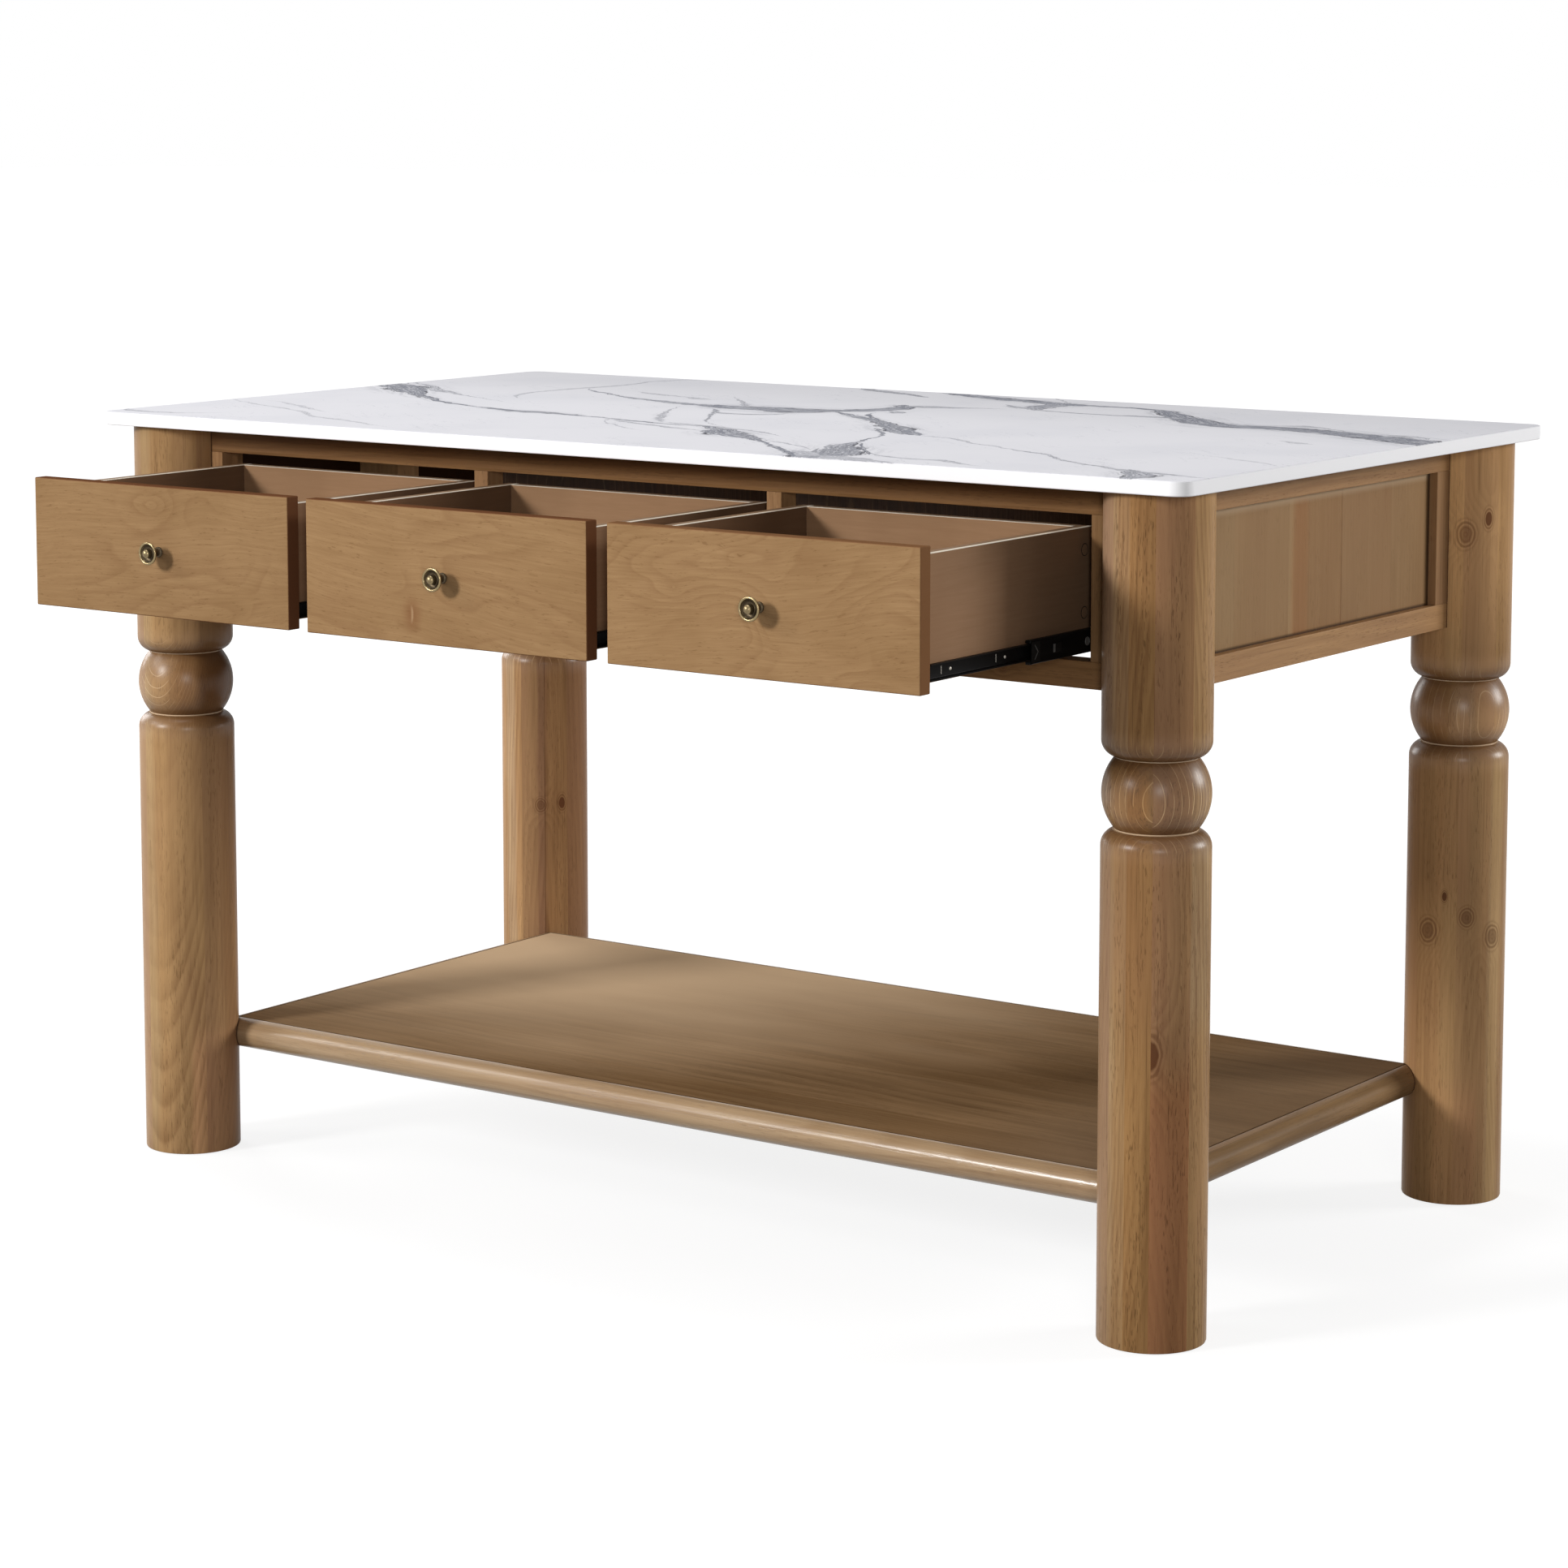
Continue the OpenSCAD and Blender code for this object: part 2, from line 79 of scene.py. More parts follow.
# Ranges that the vein curves span, and the half width under which a vein counts as this wide
VEIN_SWAY, VEIN_WIDEST, VEIN_THINNEST = 200, 50, 1.2

# Distance between the pale growth lines of timber, in metres, and the legs' turn to the camera, in degrees
LINE_STEP = 0.0085
LEG_TURN = 35.4

# Colours that several materials share: a reddish wood tone, painted shade in seams, and the legs' glaze
REDDISH, SEAM_SHADE, LEG_GLAZE = (0.285, 0.15, 0.078), (0.04, 0.018, 0.008), (0.12, 0.054, 0.019)

# Camera and lamps, found from the photograph's perspective, highlights and shadows. A lamp has its azimuth,
# elevation, distance, size and level.
CAMERA_AT = Vector((2821.8, -4006.1, 1320.3))
CAMERA_TURN, CAMERA_PITCH, CAMERA_LENS, CAMERA_SHIFT = 35.50, 6.56, 94.71, -0.15
AIM = Vector((0, 0, 0.55))
AMBIENT, FLOOR_NEAR, FLOOR_FAR = 0.085, 0.84, 1.0
LAMPS = {
    "key": (-27, 22, 9.0, 1.6, 0.71),
    "fill": (-56, 29, 8.0, 2.4, 0.24),
    "camera": (40, 11, 9.0, 1.4, 0.23),
    "rim": (134, 15, 8.0, 2.4, 0.64),
    "left": (-108, 14, 8.0, 3.0, 0.37),
    "top": (-27, 78, 8.0, 3.0, 0.23),
}


# Node helpers

class Value:
    """A number, place or colour in a material. Arithmetic on it adds nodes."""

    def __init__(self, socket):
        self.socket, self.tree = socket, socket.id_data

    def __add__(self, other):
        return calc("ADD", self, other)

    def __sub__(self, other):
        return calc("SUBTRACT", self, other)

    def __rsub__(self, other):
        return calc("SUBTRACT", other, self)

    def __mul__(self, other):
        return calc("MULTIPLY", self, other)

    def __truediv__(self, other):
        return calc("DIVIDE", self, other)

    def __pow__(self, other):
        return calc("POWER", self, other)

    def __mod__(self, other):
        return calc("FLOORED_MODULO", self, other)

    def __abs__(self):
        return calc("ABSOLUTE", self)


def feed(socket, value):
    """Links a value to a socket, or sets a plain one."""
    if isinstance(value, Value):
        value.tree.links.new(value.socket, socket)
    elif socket.type == "RGBA":
        socket.default_value = (*value, 1)
    else:
        socket.default_value = value


def node(kind, feeds, out=0, tree=None, **settings):
    """Adds a node to the tree of the values that it is fed, or to a given one. Returns one of its outputs."""
    tree = tree or next(value.tree for value in feeds.values() if isinstance(value, Value))
    made = tree.nodes.new(kind)
    for key, value in settings.items():
        setattr(made, key, value)
    for key, value in feeds.items():
        feed(made.inputs[key], value)
    return Value(made.outputs[out])


def calc(operation, *values):
    """Arithmetic on numbers or, where one of the values has three parts, on vectors."""
    numbers = all(value.socket.type == "VALUE" if isinstance(value, Value)
                  else isinstance(value, (int, float)) for value in values)
    kind = "ShaderNodeMath" if numbers else "ShaderNodeVectorMath"
    return node(kind, dict(enumerate(values)), operation=operation)


def held(value):
    """The result of a calculation, kept between 0 and 1."""
    value.socket.node.use_clamp = True
    return value


def highest(first, *others):
    for other in others:
        first = calc("MAXIMUM", first, other)
    return first


def length(place):
    return node("ShaderNodeVectorMath", {0: place}, 1, operation="LENGTH")


def axes(place):
    return [Value(socket) for socket in node("ShaderNodeSeparateXYZ", {0: place}).socket.node.outputs]


def joined(x, y, z):
    return node("ShaderNodeCombineXYZ", {0: x, 1: y, 2: z})


def distance(x, y):
    return length(joined(x, y, 0.0))


def turned(place, x, y, z):
    """Place turned by these degrees about X, then Y, then Z."""
    angles = [math.radians(angle) for angle in (x, y, z)]
    return node("ShaderNodeMapping", {"Vector": place, "Rotation": angles})


def fade(value, low, high, to_low=0.0, to_high=1.0):
    """Value between low and high, as to_low to to_high, held at both ends."""
    return node("ShaderNodeMapRange", {0: value, 1: low, 2: high, 3: to_low, 4: to_high},
                interpolation_type="SMOOTHSTEP")


def fall(value, low, high, top=1.0):
    """Value between low and high, as top down to 0."""
    return fade(value, low, high, top, 0.0)


def between(value, low, high, soft):
    """1 from low to high, and 0 where the value is further off than soft."""
    return fade(value, low - soft, low) * fall(value, high, high + soft)


def noise(place, detail=2.0, rough=0.5, distortion=0.0, scale=1.0, out=0):
    return node("ShaderNodeTexNoise", {"Vector": place, "Scale": scale, "Detail": detail, "Roughness": rough,
                                       "Distortion": distortion}, out)


def swing(place, amount, *settings):
    """Noise between minus and plus half the amount."""
    return (noise(place, *settings) - 0.5) * amount


def mix(factor, a, b, blend="MIX"):
    return node("ShaderNodeMix", {0: factor, 6: a, 7: b}, 2, data_type="RGBA", blend_type=blend)


def tinted(colour, tint):
    return mix(1.0, colour, tint, "MULTIPLY")


def group(name, inputs, outputs):
    """What a new node group is given and where its results go, by name, and the group itself. A socket is a
    number unless :v or :c makes it a vector or a colour."""
    kinds = {"": "NodeSocketFloat", "v": "NodeSocketVector", "c": "NodeSocketColor"}
    tree = bpy.data.node_groups.new(name, "ShaderNodeTree")
    for side, words in (("INPUT", inputs), ("OUTPUT", outputs)):
        for word in words.split():
            label, _, kind = word.partition(":")
            tree.interface.new_socket(name=label, in_out=side, socket_type=kinds[kind])
    given = {socket.name: Value(socket) for socket in tree.nodes.new("NodeGroupInput").outputs if socket.name}
    return SimpleNamespace(**given), tree.nodes.new("NodeGroupOutput").inputs, tree


def use(grouped, **feeds):
    """The results of a node group, by name."""
    made = node("ShaderNodeGroup", feeds, node_tree=grouped).socket.node
    return SimpleNamespace(**{socket.name: Value(socket) for socket in made.outputs})


def material(name, **constants):
    """A material with one Principled BSDF, whose constants are set on its own sockets, and its Object
    coordinates."""
    made = bpy.data.materials.new(name)
    made.use_nodes = True
    for key, value in constants.items():
        made.node_tree.nodes["Principled BSDF"].inputs[key.replace("_", " ")].default_value = value
    return made, node("ShaderNodeTexCoord", {}, "Object", made.node_tree)


def painted(made, height=None, strength=0.0, depth=0.0, **feeds):
    """A material whose shader takes these values, and a bump where a height is given."""
    if height:
        feeds["Normal"] = node("ShaderNodeBump", {"Height": height, "Strength": strength, "Distance": depth})
    for key, value in feeds.items():
        feed(made.node_tree.nodes["Principled BSDF"].inputs[key.replace("_", " ")], value)
    return made


# Shared effects

def grain_group():
    """Solid timber: staves, growth rings, fibres and pores. The grain runs along Z of place, in metres."""
    given, gives, tree = group("timber_grain", "place:v light:c dark:c red:c stave seed swell ring slope "
                               "tone figure fibre pores lines", "color:c gloss height")
    x, _, z = axes(given.place)
    index = calc("FLOOR", x / given.stave + given.seed)
    chance = node("ShaderNodeTexWhiteNoise", {"Vector": joined(index, given.seed * 3.7, 0.5)}, "Color")
    c0, c1, c2 = axes(chance)
    # The board's own place in the log
    moved = given.place + joined((c0 - 0.5) * 0.16, c1 * 0.07 + 0.05, c2 * 4.0)
    depth = swing(moved * (5.0, 5.0, 1.6), 0.06) + (length(moved * (1, 1, 0)) + given.swell)
    depth = z * given.slope + (swing(moved * (24.0, 24.0, 7.0), 0.006) + depth)
    ring = calc("FRACT", depth / given.ring)
    late = fade(ring, 0.1, 0.8) * fall(ring, 0.8, 1.0)
    late = late * fade(noise(moved * (16, 16, 4), 1.0), 0.36, 0.64, 0.25, 1.0)
    coarse = calc("FRACT", depth / LINE_STEP)
    line = fade(coarse, 0.86, 0.91) * fall(coarse, 0.93, 0.98)
    line = line * fade(noise(moved * (46, 46, 46), 1.0), 0.34, 0.5)
    fibre = noise(moved * (330, 330, 9), 3.0, 0.6)
    streak = swing(moved * (95, 95, 3.2), 1.5, 3.0, 0.65)
    pore = fade(noise(moved * (760, 760, 85), 1.0), 0.57, 0.68)
    pore = pore * fade(noise(moved * (60, 60, 6), 1.0), 0.4, 0.66, 0.15, 1.0)
    split = fade(noise(moved * (520, 520, 7), 2.0, 0.6), 0.6, 0.7)
    pore = highest(pore, split * 0.7) * given.pores
    grainy = ((fibre - 0.5) * 1.3 + streak) * given.fibre
    dark = held(swing(moved * (13, 13, 5), 0.85) + (grainy + (late * given.figure + 0.26)))
    colour = mix(dark, given.light, given.dark)
    redness = swing(moved * (19, 19, 4.3), 1.8, 1.0) + (calc("PINGPONG", index, 1.0) * 0.75 + c2 * 0.25)
    colour = mix(held(redness * given.tone), colour, given.red)
    colour = tinted(colour, (c1 - 0.5) * (given.tone * 0.4) + 1.0)
    colour = mix(pore * 0.6, colour, (0.05, 0.022, 0.009))
    feed(gives["color"], mix(held(line * given.lines), colour, (0.6, 0.4, 0.22)))
    feed(gives["gloss"], fibre * 0.12 + pore * 0.25)
    feed(gives["height"], fibre * 0.5 + pore * -1.2)
    return tree


def knot_group():
    """A knot: how far it pushes the growth rings out, and how dark its heart and the rings round it are. The
    heart is darkest where the knot is solid. It adds to the swell and the dark of the knots before it."""
    given, gives, tree = group("knot", "place:v centre:v size solid swell dark", "swell dark")
    x, y, z = axes(given.place - given.centre)
    reach = length(joined(x, y, z * (given.solid * -0.3 + 0.85))) / given.size
    reach = (noise(given.place, scale=60.0) - 0.5) * 0.5 + reach
    push = calc("EXPONENT", reach * reach * -0.12) * given.size
    core = fall(reach, 0.75, 1.02) * (given.solid * 0.5 + 0.42)
    ring = abs(calc("FRACT", reach * 2.1) - 0.5)
    ring = fall(ring, 0.12, 0.4, 0.6) * fall(reach, 0.9, 2.1)
    feed(gives["swell"], push * 2.4 + given.swell)
    feed(gives["dark"], highest(core, ring, given.dark))
    return tree


def vein_group():
    """How deep a place lies in a vein: 0 at its edge, 1 at its middle, or the depth before it if that is
    more. Flow is the place along and across the deeper of the two veins, then how dark it may get."""
    given, gives, tree = group("vein_depth", "along across middle half strength depth flow:v", "depth flow:v")
    sway = (given.middle - 0.5) * -VEIN_SWAY + given.across
    half = given.half * VEIN_WIDEST
    depth = (half - abs(sway)) / highest(half, VEIN_THINNEST)
    flow = joined(given.along, sway, given.strength)
    deeper = calc("GREATER_THAN", depth, given.depth)
    feed(gives["flow"], node("ShaderNodeMix", {0: deeper, 4: given.flow, 5: flow}, 1, data_type="VECTOR"))
    feed(gives["depth"], highest(depth, given.depth))
    return tree


GRAIN, KNOT, VEIN = grain_group(), knot_group(), vein_group()


# Timber

PLAIN_WOOD = dict(red=REDDISH, tone=0.3, figure=0.4, fibre=0.6, pores=0.4, lines=0.0, ring=0.009, slope=0.03)


def timber(name, grain, knots=(), bow=None, extra=None, centre=(0, 0, 0), stave_turn=0, coat=None, gloss=0.36,
           shine=0.04, **look):
    """Stained solid wood with its grain along x, y or z. Centre is where the pattern is centred, in metres.
    Knots are (place, size, seam): one with a seam is solid, and stops at the seam. A bow (place across,
    strength) curves the growth rings into a U. The look's values may be functions of the place."""
    made, place = material(name, Specular_IOR_Level=shine, Coat_Roughness=0.34)
    place = place - centre
    own = turned(place, *{"x": (0, 90, 0), "y": (90, 0, 0), "z": (0, 0, 0)}[grain])
    own = turned(own, 0, 0, stave_turn)
    out = SimpleNamespace(swell=(axes(own)[0] - bow[0]) ** 2.0 * bow[1] if bow else 0.0, dark=0.0)
    for at, size, *seam in knots:
        if seam:
            size = calc("GREATER_THAN", axes(own)[0], seam[0]) * size + 0.0001
        out = use(KNOT, place=place, centre=at, size=size, solid=1.0 if seam else 0.15, swell=out.swell,
                  dark=out.dark)
    look = {**PLAIN_WOOD, **look}
    look = {key: value(place) if callable(value) else value for key, value in look.items()}
    wood = use(GRAIN, place=own, swell=out.swell, **look)
    colour = mix(out.dark * 0.95, wood.color, (0.105, 0.04, 0.018)) if knots else wood.color
    if extra:
        colour = extra(place, colour)
    feeds = {"Coat_Weight": coat(place)} if coat else {}
    return painted(made, wood.height, 0.25, 0.0006, Base_Color=colour, Roughness=wood.gloss + gloss, **feeds)


def ball_lines(place):
    """The pale growth lines show where the ball and the shoulders cut across them."""
    return fall(abs(axes(place)[2] - BALL_MIDDLE), 0.046, 0.060)


def ball_coat(place):
    """More lacquer lies on the ball and the shoulders. It is thinner where the surface turns away."""
    facing = node("ShaderNodeLayerWeight", {"Blend": 0.5}, "Facing", place.tree)
    return fall(abs(axes(place)[2] - BALL_MIDDLE), 0.050, 0.075, 0.5) * fall(facing, 0.5, 0.85)


def leg_glaze_and_light(place, colour, bands, lift):
    """Staves and streaks of their own tint and bands of painted light and shade on the ball's sides, the
    edges and the foot, some of them only between two heights, then painted light and shade on the upper part,
    a darker glaze round the shoulders and ball, and the pale line where each groove was rubbed through."""
    x, y, z = axes(place)
    turn = math.radians(LEG_TURN)
    across = x * math.cos(turn) + y * math.sin(turn)
    drift = swing(place * (9, 9, 9), 0.02)
    # Bands: staves and streaks of the wood, and painted light and shade on the ball's sides, the edges and
    # the foot
    for low, high, soft, tint, *heights in bands:
        at = drift * (soft / 14) + across if soft > 0.5 else across
        band = between(at, low * MM, high * MM, soft * MM)
        if heights:
            band = band * between(z, *heights, 0.07)
        colour = mix(band, colour, tinted(colour, tint))
    # Painted light and shade on the upper part
    colour = tinted(colour, fade(z, 0.6, 0.8, 1.0, lift))
    off = abs(z - BALL_MIDDLE)
    near = abs(off - BALL_H / 2 * MM)
    glaze = fall(swing(place * (30, 30, 12), 0.016) + near, 0.0, 0.026, 0.75)
    over = fall(off, 0.036, 0.040, 0.5) * fade(z, BALL_MIDDLE - 0.01, BALL_MIDDLE + 0.03)
    colour = mix(highest(glaze, over), colour, LEG_GLAZE)
    return mix(fall(near, 0.0003, 0.0009, 0.9), colour, (0.62, 0.46, 0.3))


def seam_and_slab_shade(place, colour):
    """Painted shade in the seam where a rail meets a leg, and a painted shadow under the slab."""
    x, y, z = axes(place)
    out = distance(abs(x) - LEG_X * MM, abs(y - ORIGIN_Y * MM) - LEG_Y * MM)
    # Painted shade round the leg and, near the top, a painted shadow under the slab
    seam = fall(out, LEG_R * MM + 0.0006, LEG_R * MM + 0.0032, 0.85)
    return mix(highest(seam, fade(z, LEG_H * MM - 0.020, LEG_H * MM - 0.006, 0.0, 0.5)), colour, SEAM_SHADE)


def stile_shade(place, colour):
    """Painted shade makes the right end stile darker than the left one."""
    colour = mix(fade(axes(place)[0], 0.3, 0.5, 0.0, 0.45), colour, (0.1, 0.05, 0.02))
    return seam_and_slab_shade(place, colour)


def panel_shade(place, colour):
    """Painted shade in the corner where a panel enters its frame, and all over its inner face."""
    x, y, z = axes(place)
    end = highest(SIDE_OPENING_Y * MM - abs(y), REAR_OPENING_X * MM - abs(x))
    near = calc("MINIMUM", (z - OPENING_LOW * MM) * 2.0, end)
    depth = highest(abs(x) - FACE_X * MM, abs(y) - FACE_Y * MM)
    # Painted shade near the frame and on the inner face
    shade_mask = highest(fall(near, 0.002, 0.009, 0.85), fall(depth, -0.019, -0.014))
    return mix(shade_mask, colour, (0.03, 0.013, 0.006))


def end_boards(place, colour):
    """The end panels are glued from boards: two pale ones, and between them a browner one that starts with a
    reddish streak and ends with a dark line. Along their top edge under the rail runs a pale line that is
    partly wear and partly a painted highlight. They also take painted shade where they enter their frame."""
    _, y, z = axes(place)
    wavy = y + swing(place * (30, 30, 4), 0.014)
    for at, low, high, soft, tint in ((wavy, -0.3, -0.066, 0.012, (1.09, 1.17, 1.26)),
                                      (wavy, -0.056, -0.036, 0.014, (1.05, 0.95, 0.88)),
                                      (y, -0.06, 0.049, 0.004, (0.94, 0.92, 0.92)),
                                      (y, 0.0487, 0.0497, 0.0005, (0.78, 0.7, 0.64)),
                                      (y, 0.05, 0.3, 0.001, (1.03, 1.06, 1.12))):
        colour = mix(between(at, low, high, soft), colour, tinted(colour, tint))
    # Pale line under the rail: partly wear, partly a painted highlight
    rubbed = fade(z, OPENING_HIGH * MM - 0.012, OPENING_HIGH * MM - 0.002, 0.0, 0.6)
    return panel_shade(place, mix(rubbed, colour, (0.5, 0.37, 0.235)))


def shelf_tone_and_sheen(place, colour):
    """The shelf's boards are paler towards its rear left corner, a painted reflection, and darker towards its
    right end.
    """
    x, y, _ = axes(place)
    away = swing(place * (3, 9, 3), 0.3) + distance(x + 0.52, (y - 0.3) * 1.3)
    # Painted reflection: paler towards the rear left corner
    colour = mix(fall(away, 0.14, 0.98, 0.95), colour, (0.6, 0.425, 0.265))
    colour = mix(fade(x, 0.3, 0.6, 0.0, 0.4), colour, (0.225, 0.155, 0.1))
    seam = highest(abs(x) - SHELF_X * MM, abs(y) - SHELF_Y * MM)
    return mix(fade(seam, -0.0032, -0.0012, 0.0, 0.85), colour, (0.04, 0.02, 0.009))


# Veneer and plywood. The drawer fronts differ in seed, paleness, colour of the edges (end grain, with painted
# light and shade making the right front's edges paler than the others'), number of contour lines, how fast
# the figure changes along and across, its tilt, and its eyes (place, size, strength). A mark is the place of
# a small healed scar.
VENEERS = {
    "left": dict(seed=1.3, pale=0.93, edge=(0.135, 0.053, 0.024), swirl=14.0, flow=(4.0, 9.0), tilt=4,
                 eyes=[((-10, 52), (50, 24), 0.3)]),
    "middle": dict(seed=7.7, pale=1.0, edge=(0.135, 0.053, 0.024), swirl=11.0, flow=(3.0, 10.0), tilt=-6,
                   mark=(-43, -42)),
    "right": dict(seed=3.1, pale=1.02, edge=(0.195, 0.092, 0.042), swirl=15.0, flow=(5.0, 9.0), tilt=6,
                  eyes=[((-24, 50), (60, 24), 0.3), ((-108, 12), (40, 22), 0.2)]),
}


def veneer(name, centre, seed, pale, edge, swirl, flow, tilt, eyes=(), mark=None):
    """Figured veneer: soft contour lines, closed round its eyes, over fine fibres that wind along X."""
    made, place = material(name, Specular_IOR_Level=0.0)
    place = place - centre
    sway = turned(place, 0, tilt, 0) + (seed, seed, 0)
    field = noise(sway * (flow[0], 3.4, flow[1]), 1.6, 0.45, 0.5)
    for (x, z), (wide, high), lift in eyes:
        away = length((place - (x * MM, 0, z * MM)) * (1000 / wide, 0, 1000 / high))
        field = calc("EXPONENT", away * -1.0) * lift + field
    ripple = swing(sway * (30, 30, 90), 0.03, 3.0, 0.55)
    sway = sway + joined(0.0, 0.0, field * 0.05)
    wave = calc("FRACT", (ripple + field) * swirl)
    band = wave ** 2.4 * fall(wave, 0.84, 1.0)
    calm = fade(noise(sway * (9, 9, 14), 1.0), 0.38, 0.6, 0.15, 1.0)
    fibre = noise(sway * (16, 22, 430), 3.0, 0.66, 0.3)
    fleck = noise(sway * (85, 85, 700), 2.0, 0.6)
    cloud = noise(sway * (7, 7, 12), 3.0, 0.55)
    colour = mix(held((fibre - 0.5) * 1.7 + 0.4), (0.37, 0.226, 0.11), (0.272, 0.156, 0.072))
    colour = mix(band * (calm * 0.5), colour, (0.215, 0.11, 0.05))
    colour = mix(fade(cloud, 0.42, 0.7, 0.0, 0.4), colour, (0.25, 0.142, 0.062))
    colour = mix(fade(fleck, 0.6, 0.72, 0.0, 0.4), colour, (0.16, 0.08, 0.032))
    colour = tinted(colour, (pale, pale, pale))
    x, _, z = axes(place)
    if mark:
        dx, dz = x - mark[0] * MM, z - mark[1] * MM
        colour = mix(fall(distance(dx, dz * 0.7), 0.001, 0.018, 0.7), colour, (0.22, 0.1, 0.045))
        streak = fall(abs(dz * dz * 12.0 + dx), 0.0002, 0.0024, 0.65) * fall(abs(dz), 0.003, 0.012)
        colour = mix(streak, colour, (0.44, 0.29, 0.16))
    end = fade(abs(x), (FRONT_W / 2 - 1.2) * MM, (FRONT_W / 2 - 0.1) * MM)
    rim = fade(abs(z), (FRONT_H / 2 - 1.4) * MM, (FRONT_H / 2 - 0.1) * MM)
    colour = mix(highest(end, rim) * 0.95, colour, edge)
    return painted(made, fleck * -0.4 + fibre, 0.12, 0.0005, Base_Color=colour, Roughness=fibre * 0.12 + 0.38)


def side_edge(place):
    """Place across the nearest drawer side, from its middle towards +x."""
    off = (axes(place)[0] + BAY / 2 * MM) % (BAY * MM) - BAY / 2 * MM
    return off - calc("SIGN", off) * ((BOX_HALF - BOX_T / 2) * MM)


def back_edge(place):
    """Place across the drawer back, from its middle towards the front."""
    return (FRONT_OUT + FRONT_T + BOX_LEN - BOX_T / 2 + ORIGIN_Y) * MM - axes(place)[1]


def plywood(name, across, light, dark, rear=1.0):
    """Clear-coated plywood of the drawer boxes, with painted shade that darkens it by rear towards the back,
    and a pale line on its rubbed top edge."""
    made, place = material(name, Specular_IOR_Level=0.01)
    _, y, z = axes(place)
    fibre = noise(place * (20, 12, 260), 3.0, 0.6)
    colour = mix(held((fibre - 0.5) * 0.9 + 0.4), light, dark)
    colour = mix(fade(noise(place * (9, 9, 3)), 0.4, 0.7, 0.0, 0.5), colour, dark)
    start = (FRONT_OUT + BOX_LEN / 3 + ORIGIN_Y) * MM
    # Painted shade towards the back of the drawer
    colour = tinted(colour, fade(y, start, start + BOX_LEN / 2 * MM, 1.0, rear))
    edge = mix(fade(across(place), 0.0015, 0.0030), (0.24, 0.15, 0.088), (0.8, 0.72, 0.6))
    top = fade(z, (BOX_TOP - 0.6) * MM, (BOX_TOP - 0.2) * MM)
    return painted(made, fibre, 0.08, 0.0004, Base_Color=mix(top, colour, edge), Roughness=fibre * 0.1 + 0.42)


